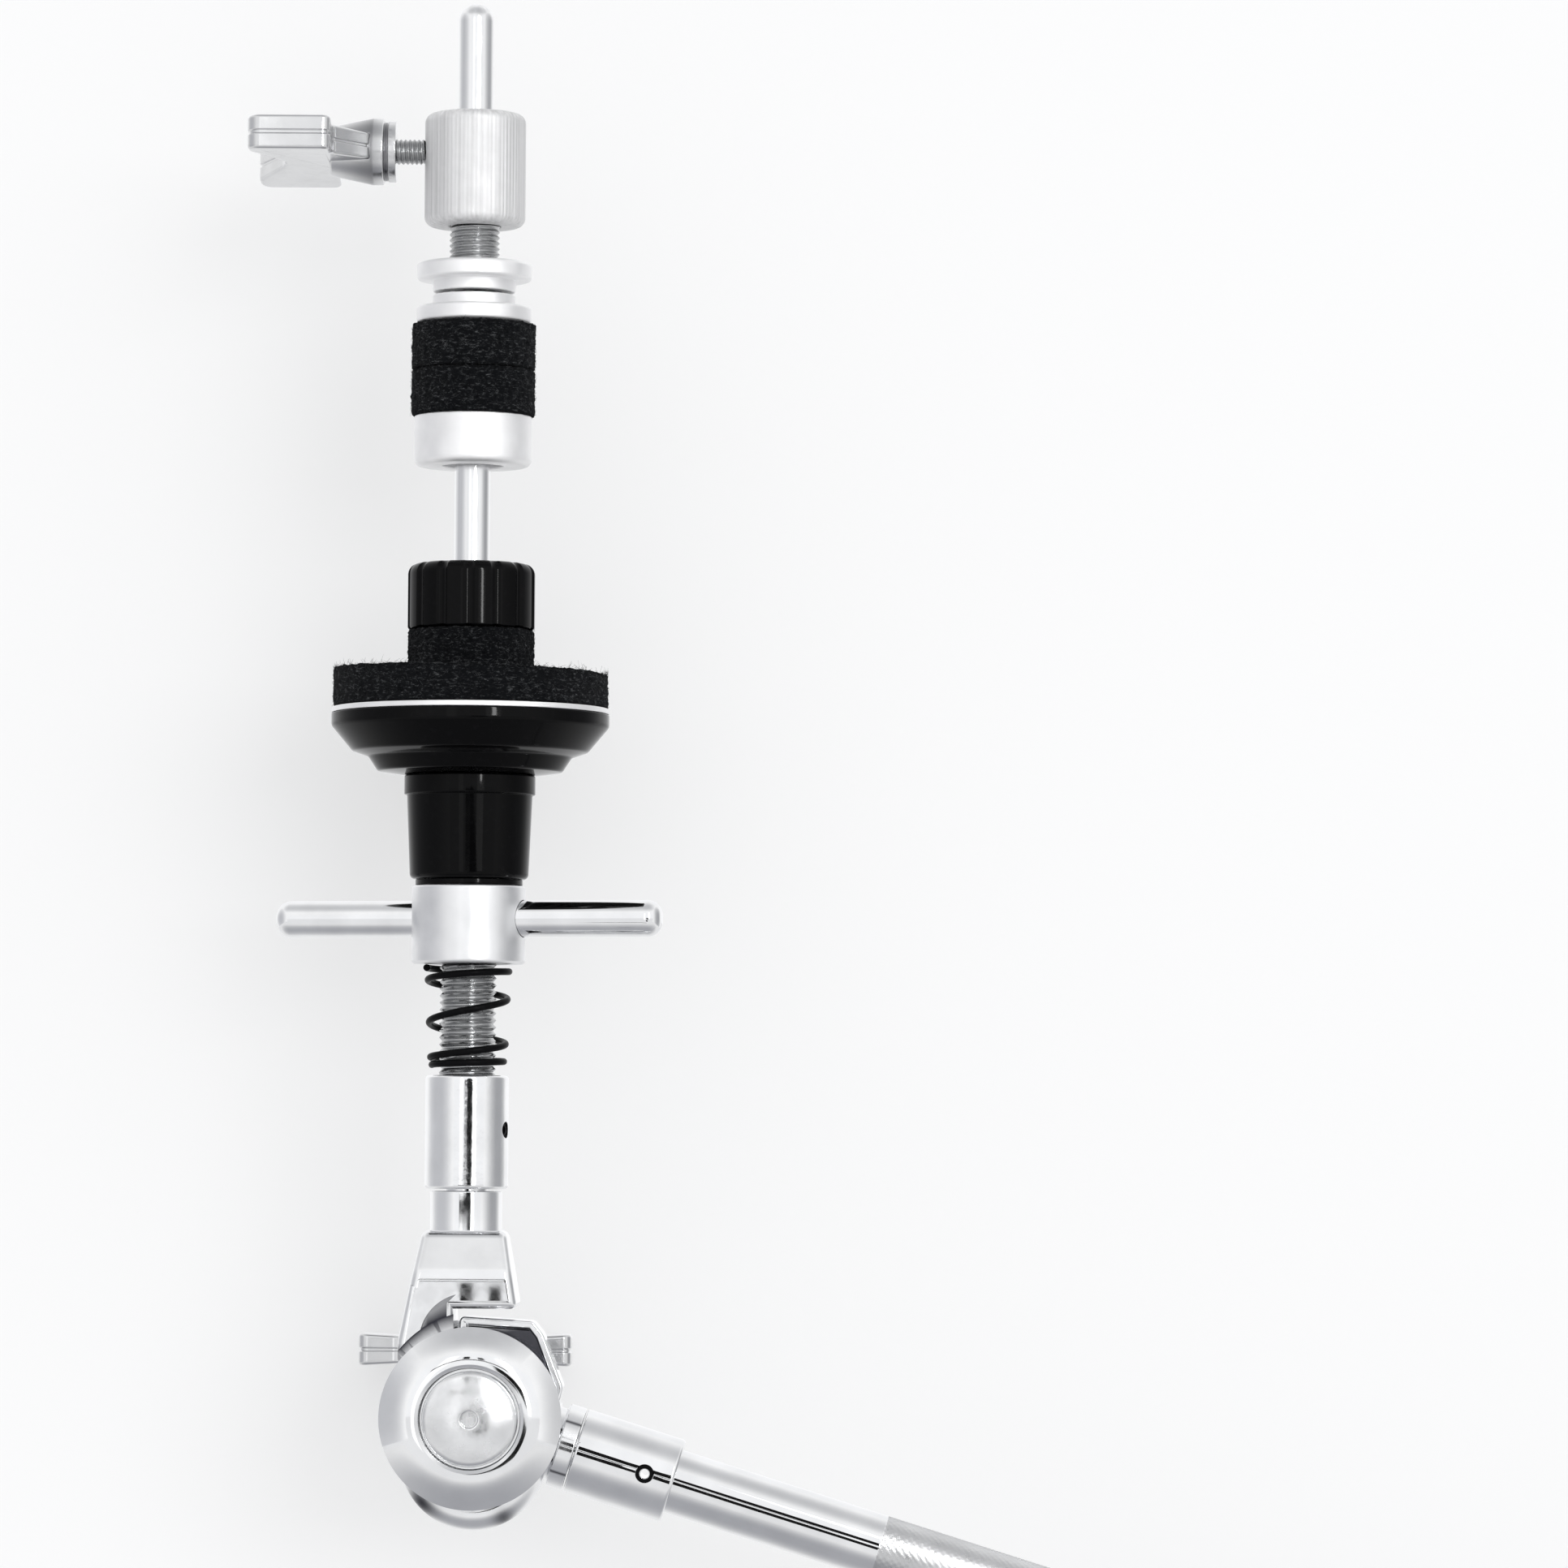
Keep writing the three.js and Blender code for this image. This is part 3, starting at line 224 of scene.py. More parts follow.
class Recipe:
    """A Principled material worked out on Object coordinates."""

    def __init__(self, name, base, **sockets):
        self.material = bpy.data.materials.new(name)
        self.material.use_nodes = True
        self.tree = self.material.node_tree
        self.shader = self.tree.nodes["Principled BSDF"]
        self.coordinates = self.tree.nodes.new("ShaderNodeTexCoord").outputs["Object"]
        self.material.diffuse_color = (*base, 1)
        self.shader.inputs["Base Color"].default_value = (*base, 1)
        for socket, value in sockets.items():
            self.shader.inputs[socket.replace("_", " ")].default_value = value

    def link(self, source, target):
        self.tree.links.new(source, target)

    def noise(self, scale, detail=3, stretch=(1, 1, 1), roughness=0.5):
        """Noise with its features stretched along the axes, as a factor."""
        mapping = self.tree.nodes.new("ShaderNodeMapping")
        mapping.inputs["Scale"].default_value = stretch
        self.link(self.coordinates, mapping.inputs["Vector"])
        texture = self.tree.nodes.new("ShaderNodeTexNoise")
        texture.inputs["Scale"].default_value = scale
        texture.inputs["Detail"].default_value = detail
        texture.inputs["Roughness"].default_value = roughness
        self.link(mapping.outputs["Vector"], texture.inputs["Vector"])
        return texture.outputs["Fac"]

    def spread(self, factor, low, high, bottom=0.3, top=0.7):
        """A factor's usual range stretched to run from low to high."""
        spread = self.tree.nodes.new("ShaderNodeMapRange")
        spread.inputs["From Min"].default_value = bottom
        spread.inputs["From Max"].default_value = top
        spread.inputs["To Min"].default_value = low
        spread.inputs["To Max"].default_value = high
        self.link(factor, spread.inputs["Value"])
        return spread.outputs["Result"]

    def tint(self, factor, first, second):
        """Base colour between two colours by a factor."""
        mix = self.tree.nodes.new("ShaderNodeMix")
        mix.data_type = "RGBA"
        mix.inputs[6].default_value = (*first, 1)
        mix.inputs[7].default_value = (*second, 1)
        self.link(factor, mix.inputs[0])
        self.link(mix.outputs[2], self.shader.inputs["Base Color"])

    def grime(self):
        """Base colour darkened where the mesh's painted shade is high: shade and dark reflections painted
        into the colour.
        """
        dirt = self.tree.nodes.new("ShaderNodeAttribute")
        dirt.attribute_name = PAINTED_SHADE
        mix = self.tree.nodes.new("ShaderNodeMix")
        mix.data_type = "RGBA"
        # near-black colour of the painted shade
        mix.inputs[7].default_value = (0.03, 0.03, 0.04, 1)
        base = self.shader.inputs["Base Color"]
        self.link(dirt.outputs["Fac"], mix.inputs[0])
        self.link(base.links[0].from_socket, mix.inputs[6])
        self.link(mix.outputs[2], base)

    def gloss(self, factor, low, high):
        """Roughness from low to high by a factor."""
        self.link(self.spread(factor, low, high), self.shader.inputs["Roughness"])

    def relief(self, factor, distance):
        """Bump of a given height, added on the bumps before it."""
        bump = self.tree.nodes.new("ShaderNodeBump")
        bump.inputs["Distance"].default_value = distance
        bump.inputs["Strength"].default_value = 1
        self.link(factor, bump.inputs["Height"])
        normal = self.shader.inputs["Normal"]
        if normal.links:
            self.link(normal.links[0].from_socket, bump.inputs["Normal"])
        self.link(bump.outputs["Normal"], normal)


def dimmed(tone, share):
    """A colour made darker by a share."""
    return tuple(channel * share for channel in tone)


def metal(name, tone, rough, scratch, wobble, stretch=(1, 1, 1), wear=0.9, patches=(140, 140, 140)):
    """Plated or turned metal: cloudy gloss, tool marks, a slow wobble of the surface and faint wear."""
    recipe = Recipe(name, tone, Metallic=1.0)
    cloud = recipe.noise(1, 4, patches)
    recipe.tint(recipe.spread(cloud, 0, 1), dimmed(tone, wear), tone)
    # painted shade from the mesh's attribute, where a piece has one
    recipe.grime()
    recipe.gloss(recipe.noise(420, 5), *rough)
    recipe.relief(recipe.noise(900, 3, stretch), scratch)
    recipe.relief(recipe.noise(70, 2), wobble)
    return recipe.material


def plastic(name, tone, rough, shine=0.12):
    """Moulded plastic: even gloss with faint handling marks."""
    recipe = Recipe(name, tone, Specular_IOR_Level=shine)
    recipe.gloss(recipe.noise(260, 5), *rough)
    recipe.tint(recipe.spread(recipe.noise(900, 4), 0, 1, 0.55, 0.8), tone, dimmed(tone, 1.8))
    recipe.relief(recipe.noise(1500, 2), 0.002 * MM)
    return recipe.material


def pressed_felt(name, tone, lint):
    """Pressed wool: matted fibres, grey lint flecks and a soft sheen."""
    recipe = Recipe(
        name, tone, Roughness=0.95, Specular_IOR_Level=0.05, Sheen_Weight=0.02, Sheen_Roughness=0.5
    )
    fibres = recipe.noise(850, 6, (1, 1, 2.8), 0.85)
    recipe.tint(recipe.spread(fibres, 0, 1, 0.54, 0.72), tone, lint)
    recipe.relief(recipe.noise(1300, 5, (1, 1, 2.2), 0.7), 0.3 * MM)
    return recipe.material


def loose_fibre(name, tone, lint):
    """Loose wool fibres, from black to grey."""
    recipe = Recipe(name, lint, Roughness=0.9, Specular_IOR_Level=0.05)
    recipe.tint(recipe.spread(recipe.noise(700, 3), 0, 1, 0.46, 0.72), tone, lint)
    return recipe.material


ALONG_ROD = (60, 60, 0.6)
ROUND_ROD = (0.05, 0.05, 4)


def finish(name):
    """The material of that name, made when it is first asked for."""
    if name in bpy.data.materials:
        return bpy.data.materials[name]
    tone = colours()
    makers = {
        "polished_chrome": lambda: metal(name, tone.chrome, (0.04, 0.1), 0.0008 * MM, 0.02 * MM),
        "ragged_chrome": lambda: metal(name, tone.chrome, (0.05, 0.12), 0.016 * MM, 0.03 * MM),
        "cast_chrome": lambda: metal(name, tone.chrome, (0.05, 0.14), 0.0015 * MM, 0.05 * MM),
        "wing_chrome": lambda: metal(name, dimmed(tone.chrome, 0.78), (0.12, 0.24), 0.004 * MM, 0.08 * MM),
        "hammered_chrome": lambda: metal(name, tone.satin, (0.16, 0.3), 0.02 * MM, 0.05 * MM, wear=0.75),
        "satin_chrome": lambda: metal(name, tone.satin, (0.28, 0.4), 0.003 * MM, 0.01 * MM, ROUND_ROD),
        "drawn_chrome": lambda: metal(
            name, tone.chrome, (0.12, 0.22), 0.002 * MM, 0.01 * MM, ALONG_ROD, 0.86, (900, 900, 9)
        ),
        "tube_chrome": lambda: metal(name, tone.chrome, (0.02, 0.05), 0.0008 * MM, 0.006 * MM),
        "knurled_chrome": lambda: metal(
            name, dimmed(tone.chrome, 0.72), (0.25, 0.38), 0.001 * MM, 0.006 * MM
        ),
        "turned_aluminium": lambda: metal(
            name, tone.aluminium, (0.5, 0.62), 0.005 * MM, 0.01 * MM, ROUND_ROD
        ),
        "lined_aluminium": lambda: metal(
            name, dimmed(tone.aluminium, 0.88), (0.6, 0.75), 0.01 * MM, 0.01 * MM, ALONG_ROD, 0.8,
            (1500, 1500, 22)
        ),
        "bright_steel": lambda: metal(name, tone.steel, (0.2, 0.35), 0.003 * MM, 0.01 * MM),
        "turned_brass": lambda: metal(name, tone.brass, (0.2, 0.35), 0.003 * MM, 0.01 * MM, ROUND_ROD),
        "wire_black": lambda: plastic(name, tone.wire, (0.25, 0.4), 0.03),
        "gloss_black": lambda: plastic(name, tone.plastic, (0.04, 0.1), 0.08),
        "black_nylon": lambda: plastic(name, tone.nylon, (0.4, 0.55)),
        "wool_felt": lambda: pressed_felt(name, tone.felt, tone.lint),
        "wool_fibre": lambda: loose_fibre(name, tone.felt, tone.lint),
    }
    return makers[name]()


# ------------------------------------------------------------------ surfaces on a grid

Shell = namedtuple("Shell", "points corners counts")


def closed_grid(grid, loop=False, start_point=None, end_point=None):
    """Faces of a grid of points, in rows round a ring.

    Row i and row i + 1 are joined by quads, and each row closes on itself. With loop the last row joins
    the first. Otherwise each end closes on its pole where one is given, or with one flat face.
    """
    rows, columns, _ = grid.shape
    index = np.arange(rows * columns).reshape(rows, columns)
    low = index if loop else index[:-1]
    high = np.roll(index, -1, axis=0) if loop else index[1:]
    quads = np.stack([low, np.roll(low, -1, 1), np.roll(high, -1, 1), high], axis=-1).reshape(-1)
    points = grid.reshape(-1, 3)
    corners, counts = [quads], [np.full(len(quads) // 4, 4)]
    for ring, pole, first in ((index[0], start_point, True), (index[-1], end_point, False)):
        if loop:
            break
        if pole is None:
            corners.append(ring[::-1] if first else ring)
            counts.append(np.array([columns]))
            continue
        hub = np.full(columns, len(points))
        points = np.vstack([points, pole])
        pair = (np.roll(ring, -1), ring) if first else (ring, np.roll(ring, -1))
        corners.append(np.stack([hub, *pair], axis=-1).reshape(-1))
        counts.append(np.full(columns, 3))
    return Shell(points, np.concatenate(corners), np.concatenate(counts))


def rounded(corners, loop=False):
    """A path through corners (x, y, rounding), with its right-hand normals.

    Each corner with a rounding becomes the arc tangent to both of its sides, and a point stands on each
    side just clear of the arc, so that the flat beside it stays flat when shaded.
    """
    corners = np.array(corners, float)
    place, rounding = corners[:, :2], corners[:, 2]
    count = len(place)
    points, normals = [], []
    for i, (here, radius) in enumerate(zip(place, rounding)):
        if not loop and i in (0, count - 1):
            way = place[1] - place[0] if i == 0 else place[-1] - place[-2]
            way = way / np.linalg.norm(way)
            points.append(here[None])
            normals.append(np.array([[way[1], -way[0]]]))
            continue
        before, after = place[i - 1], place[(i + 1) % count]
        into, out = here - before, after - here
        reach_in, reach_out = np.linalg.norm(into), np.linalg.norm(out)
        into, out = into / reach_in, out / reach_out
        bend = math.atan2(into[0] * out[1] - into[1] * out[0], into @ out)
        room = min(
            reach_in * (0.49 if rounding[i - 1] else 0.98),
            reach_out * (0.49 if rounding[(i + 1) % count] else 0.98),
        )
        reach = radius * math.tan(abs(bend) / 2)
        if reach > room:
            radius, reach = radius * room / reach, room
        steps = max(2, math.ceil(abs(bend) / ARC_STEP)) if radius else 0
        share = np.linspace(0, 1, steps + 1) if steps else np.array([0.5])
        angle = math.atan2(into[1], into[0]) + bend * share
        normal = np.stack([np.sin(angle), -np.cos(angle)], axis=1)
        side = math.copysign(1, bend)
        centre = here - into * reach + side * radius * np.array([-into[1], into[0]])
        arc = centre + side * radius * normal
        hold = min(0.2 * MM, (room - reach) / 3)
        if steps and hold > 0.01 * MM:
            arc = np.vstack([arc[0] - into * hold, arc, arc[-1] + out * hold])
            normal = np.vstack([normal[0], normal, normal[-1]])
        points.append(arc)
        normals.append(normal)
    return np.vstack(points), np.vstack(normals)


def stepped(points, normals, step, loop, inside=None):
    """A path with points added so that no side is longer than step, at radii over inside."""
    following = np.roll(points, -1, axis=0) if loop else points[1:]
    new_points, new_normals = [], []
    for i, (a, b) in enumerate(zip(points, following)):
        parts = max(1, math.ceil(np.linalg.norm(b - a) / step))
        if inside is not None and max(a[0], b[0]) <= inside:
            parts = 1
        share = np.linspace(0, 1, parts, endpoint=False)[:, None]
        new_points.append(a + (b - a) * share)
        new_normals.append(normals[i] + (normals[(i + 1) % len(normals)] - normals[i]) * share)
    if not loop:
        new_points.append(points[-1:])
        new_normals.append(normals[-1:])
    return np.vstack(new_points), np.vstack(new_normals)


def settled(local, place):
    """Local points moved to their place in the row's frame."""
    return local @ place.turn.T + place.origin


def turned(corners, place=ROD, sides=96, relief=None, step=None, inside=None):
    """A solid of revolution from corners (radius, height, rounding) run upwards on its outer side.

    Radius and height come from the rounded profile, moved along its normal by relief(angle, radius,
    height), and the ring turns round the local axis. A profile that ends off the axis closes on itself.
    """
    loop = corners[0][0] > 0
    points, normals = rounded(corners, loop)
    if step:
        points, normals = stepped(points, normals, step, loop, inside)
    start, end = (None, None) if loop else (points[0], points[-1])
    if not loop:
        points, normals = points[1:-1], normals[1:-1]
    angle = np.linspace(0, FULL_TURN, sides, endpoint=False)[None]
    radius, height = points[:, :1] + 0 * angle, points[:, 1:] + 0 * angle
    if relief:
        shift = relief(angle, radius, height)
        radius, height = radius + shift * normals[:, :1], height + shift * normals[:, 1:]
    grid = settled(np.stack([radius * np.cos(angle), radius * np.sin(angle), height], axis=-1), place)
    if loop:
        return closed_grid(grid, loop=True)
    poles = [settled(np.array([0, 0, point[1]]), place) for point in (start, end)]
    return closed_grid(grid, start_point=poles[0], end_point=poles[1])


def bar(radius, start, end, place=ROD, sides=96, edges=(0, 0), **detail):
    """A solid round bar between two heights, with its two edges rounded."""
    corners = [(0, start, 0), (radius, start, edges[0]), (radius, end, edges[1]), (0, end, 0)]
    return turned(corners, place, sides, **detail)


def ring(bore, radius, start, end, place=ROD, sides=96, edges=(0, 0, 0, 0), **detail):
    """A round ring between two heights, its four edges rounded from the lower inner one outwards."""
    corners = [(bore, start), (radius, start), (radius, end), (bore, end)]
    corners = [(*corner, edge) for corner, edge in zip(corners, edges)]
    return turned(corners, place, sides, **detail)


def plate(outline, profile, place=PIVOT):
    """An outline carried along a profile of (inset, depth, rounding).

    Each point of the outline moves inwards along its normal by the inset, and along the local axis by
    the depth. Both ends close with a flat face.
    """
    edge, outward = rounded(outline, loop=True)
    path, _ = rounded(profile)
    flat = edge[None] - outward[None] * path[:, None, :1]
    depth = path[:, None, 1:] + 0 * flat[..., :1]
    return closed_grid(settled(np.concatenate([flat, depth], axis=-1), place))


def slab(outline, back, front, edge, place=PIVOT):
    """A plate with rounded front and back edges."""
    inset = 2.2 * edge
    return plate(outline, [(inset, back, 0), (0, back, edge), (0, front, edge), (inset, front, 0)], place)


def ridges(pitch, depth, low, high, radius):
    """Relief of a right-hand screw thread between two heights, on faces at that radius.

    The depth follows a cosine of the height in pitches less the angle in turns, and fades in over half
    a pitch at either end.
    """

    def relief(angle, at_radius, height):
        wave = 0.5 - 0.5 * np.cos(FULL_TURN * height / pitch - angle)
        fade = np.clip(np.minimum(height - low, high - height) / (0.5 * pitch), 0, 1)
        return -depth * wave**0.8 * fade * (np.abs(at_radius - radius) < 0.1 * MM)

    return relief


def fused(*shells):
    """Several shells in one."""
    shift = np.cumsum([0] + [len(shell.points) for shell in shells[:-1]])
    return Shell(
        np.vstack([shell.points for shell in shells]),
        np.concatenate([shell.corners + start for shell, start in zip(shells, shift)]),
        np.concatenate([shell.counts for shell in shells]),
    )


def solid(name, shell, sharp=SHARP):
    """An object from a shell, smooth except over sharp edges."""
    mesh = bpy.data.meshes.new(name)
    mesh.vertices.add(len(shell.points))
    mesh.vertices.foreach_set("co", shell.points.astype(np.float32).ravel())
    mesh.loops.add(len(shell.corners))
    mesh.loops.foreach_set("vertex_index", shell.corners.astype(np.int32))
    mesh.polygons.add(len(shell.counts))
    starts = np.concatenate([[0], np.cumsum(shell.counts)[:-1]])
    mesh.polygons.foreach_set("loop_start", starts.astype(np.int32))
    mesh.update(calc_edges=True)
    if mesh.validate():
        raise RuntimeError(f"{name} has faces that Blender would not take")
    mesh.shade_smooth()
    mesh.set_sharp_from_angle(angle=sharp)
    item = bpy.data.objects.new(name, mesh)
    bpy.context.scene.collection.objects.link(item)
    return item


def carved(item, *steps):
    """An object after a row of booleans, as one clean mesh.

    Each step is an operation and its tool, which is a shell or a made object, used up by it.
    """
    for number, (operation, shape) in enumerate(steps):
        made = isinstance(shape, bpy.types.Object)
        tool = shape if made else solid(f"{item.name}_tool_{number}", shape)
        modifier = item.modifiers.new(f"Cut {number}", "BOOLEAN")
        modifier.operation, modifier.solver, modifier.object = operation, "MANIFOLD", tool
        mesh = bpy.data.meshes.new_from_object(item.evaluated_get(bpy.context.evaluated_depsgraph_get()))
        item.modifiers.clear()
        used = (item.data, tool.data)
        item.data = mesh
        bpy.data.objects.remove(tool)
        for old in used:
            bpy.data.meshes.remove(old)
        if not len(mesh.polygons):
            raise RuntimeError(f"{item.name} has nothing left after its cut {number}")
    item.data.name = item.name
    item.data.shade_smooth()
    item.data.set_sharp_from_angle(angle=SHARP)
    return item


def paint_shade(item, amount, place=PIVOT):
    """Sets a piece's painted shade, 0 to 1, from its points' places in a local frame."""
    vertices = item.data.vertices
    local = (vectors(vertices, "co") - place.origin) @ place.turn
    facing = vectors(vertices, "normal") @ place.turn
    grime = np.clip(amount(*local.T, *facing.T), 0, 1)
    layer = item.data.attributes.new(PAINTED_SHADE, "FLOAT", "POINT")
    layer.data.foreach_set("value", grime.astype(np.float32))
    return item


def second_look(item, mask):
    """Gives the faces under a mask the piece's second finish, and the others its first."""
    item.data.polygons.foreach_set("material_index", mask.astype(np.int32))


def ramp(value, start, end):
    """0 to 1 while a value goes from start to end, eased."""
    t = np.clip((value - start) / (end - start), 0, 1)
    return t * t * (3 - 2 * t)


def fit(item, looks, slot, body, *nodes):
    """A piece's finish, the body that it rides on and the nodes that it stands for. The slot is not used."""
    item.data.materials.clear()
    for look in looks.split():
        item.data.materials.append(finish(look))
    if body:
        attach(item, body)
    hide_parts(*nodes)
    return item


def keep(node, look):
    """A node that keeps its shape gets its finish."""
    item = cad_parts[node]
    item.data.materials.clear()
    item.data.materials.append(finish(look))


# ------------------------------------------------------------------ rod, stem and coupler

class HIHAT_OT_rod_and_stem(bpy.types.Operator):
    """Pull rod with its domed tip, threaded stem, and coupler with its set screw"""

    bl_idname = "hihat.rod_and_stem"
    bl_label = "Rod and Stem"

    def execute(self, context):
        size = sizes()
        rod, stem, coupler = (extent(n, ROD) for n in ("pull_rod", "threaded_stem", "coupler"))
        tip = rod.radius * 0.97
        shell = bar(rod.radius, rod.start, rod.end, edges=(size.edge, tip))
        fit(solid("rod", shell), "drawn_chrome", "chrome", "tilter", "pull_rod")

        bore = rod.radius + size.play
        thread = ridges(size.stem_pitch, size.stem_depth, coupler.end, stem.end, stem.radius)
        shell = ring(
            bore, stem.radius, stem.start, stem.end, sides=72, edges=(0, size.edge, size.edge, 0),
            relief=thread, step=size.stem_pitch / 11, inside=bore + size.play,
        )
        fit(solid("stem", shell), "bright_steel", "steel", "tilter", "threaded_stem")

        screw = extent("coupler_set_screw", SET_SCREW)
        edge = 2 * size.edge
        bore = stem.radius + size.play
        shell = ring(
            bore, coupler.radius, coupler.start, coupler.end, sides=128, edges=(0, edge, edge, size.edge)
        )
        hole = bar(screw.radius + size.play, 0, 2 * coupler.radius, SET_SCREW, 32)
        body = carved(solid("coupler_sleeve", shell), ("DIFFERENCE", hole))
        fit(body, "ragged_chrome", "chrome", "tilter", "coupler")

        key = 0.55 * screw.radius
        shell = turned(
            [
                (0, screw.start, 0), (screw.radius, screw.start, size.edge),
                (screw.radius, screw.end, size.edge), (key, screw.end, 0),
                (key, screw.end - 2 * key, 0), (0, screw.end - 2 * key, 0),
            ],
            SET_SCREW, 36,
        )
        fit(solid("set_screw", shell), "wire_black", "steel", "tilter", "coupler_set_screw")
        return {"FINISHED"}


# ------------------------------------------------------------------ boom arm

class HIHAT_OT_boom_arm(bpy.types.Operator):
    """Boom arm tube with its diamond knurl, sleeve, roll pin and end plug"""

    bl_idname = "hihat.boom_arm"
    bl_label = "Boom Arm"

    def execute(self, context):
        size = sizes()
        tube, sleeve, plug = (extent(n, ARM) for n in ("boom_arm", "arm_sleeve", "arm_end_plug"))
        pin = extent("arm_roll_pin", PIN)
        wall = 1.5 * MM
        crest = tube.radius
        plain = crest - 0.06 * MM
        bore = plain - wall
        knurl_base = sleeve.end + size.knurl_start
        knurl_top = knurl_base + size.knurl_length
        hold = 0.25 * MM
        columns = 4 * size.knurl_around
        rows = 4 * size.knurl_rows

        def diamonds(angle, radius, height):
            """Pyramids where two sets of helical grooves cross: the lower of two triangle waves."""
            along = size.knurl_rows * (height - knurl_base) / size.knurl_length
            around = size.knurl_around * angle / FULL_TURN
            waves = [np.abs(2 * ((along + way * around) % 1) - 1) for way in (1, -1)]
            inside = (height > knurl_base) & (height < knurl_top) & (radius > plain)
            return np.where(inside, -size.knurl_depth * (1 - np.minimum(*waves)), 0)

        outline, _ = rounded(
            [
                (bore, tube.start, 0), (plain, tube.start, size.edge), (plain, knurl_base - hold, 0),
                (plain, knurl_base, 0), (crest, knurl_base + size.play, 0), (crest, knurl_top - size.play, 0),
                (plain, knurl_top, 0), (plain, knurl_top + hold, 0),
                (plain, tube.end, size.edge), (bore, tube.end, size.edge),
            ],
            loop=True,
        )
        sides = np.linalg.norm(np.roll(outline, -1, 0) - outline, axis=1)
        long_side = np.argmax(sides * (outline[:, 0] > plain))
        share = np.linspace(0, 1, rows)[:, None]
        run = outline[long_side] + (outline[long_side + 1] - outline[long_side]) * share
        path = np.vstack([outline[:long_side], run, outline[long_side + 2:]])
        angle = np.linspace(0, FULL_TURN, columns, endpoint=False)[None]
        radius, height = path[:, :1] + 0 * angle, path[:, 1:] + 0 * angle
        radius = radius + diamonds(angle, radius, height)
        grid = np.stack([radius * np.cos(angle), radius * np.sin(angle), height], axis=-1)
        shell = closed_grid(settled(grid, ARM), loop=True)

        reach = 2 * sleeve.radius
        hole = bar(pin.radius + size.play, -reach, reach, PIN, 40)
        arm = carved(solid("arm_tube", shell, math.radians(70)), ("DIFFERENCE", hole))
        arm.data.set_sharp_from_angle(angle=math.radians(50))
        fit(arm, "tube_chrome knurled_chrome", "chrome", "boom", "boom_arm")
        x, y, along = ((vectors(arm.data.polygons, "center") - ARM.origin) @ ARM.turn).T
        outer = np.hypot(x, y) > plain - size.knurl_depth
        second_look(arm, (along > knurl_base) & (along < knurl_top) & outer)

        bore = plain + 2 * size.play
        edges = (0, size.edge, 2 * size.edge, size.edge)
        shell = ring(bore, sleeve.radius, sleeve.start, sleeve.end, ARM, 128, edges)
        sleeved = carved(solid("sleeve", shell), ("DIFFERENCE", hole))
        fit(sleeved, "tube_chrome", "chrome", "boom", "arm_sleeve")

        hollow = 0.52 * pin.radius
        shell = ring(hollow, pin.radius, pin.start, pin.end, PIN, 48, (size.edge / 2,) * 4)
        roll_pin = solid("roll_pin", shell)
        fit(roll_pin, "wire_black polished_chrome", "black_wire", "boom", "arm_roll_pin")
        out = (vectors(roll_pin.data.polygons, "center") - PIN.origin) @ PIN.turn
        facing = vectors(roll_pin.data.polygons, "normal") @ PIN.turn
        second_look(roll_pin, np.sum(out[:, :2] * facing[:, :2], axis=1) < -0.3 * hollow)

        neck = bore - wall - 3 * size.play
        cap = tube.end + size.play
        shell = turned(
            [
                (0, plug.start, 0), (neck, plug.start, size.edge), (neck, cap, 0),
                (plug.radius, cap, size.edge), (plug.radius, plug.end, 3 * size.edge), (0, plug.end, 0),
            ],
            ARM, 72,
        )
        fit(solid("end_plug", shell), "black_nylon", "black_plastic", "boom", "arm_end_plug")
        return {"FINISHED"}


# ------------------------------------------------------------------ tilter

def disc(radius, back, front, edge, centre=(0, 0), sides=128):
    """A solid disc on the pivot's axis, or beside it, with rounded edges."""
    shell = bar(radius, back, front, PIVOT, sides, (edge, edge))
    shift = PIVOT.turn[:, 0] * centre[0] + PIVOT.turn[:, 1] * centre[1]
    return shell._replace(points=shell.points + shift)


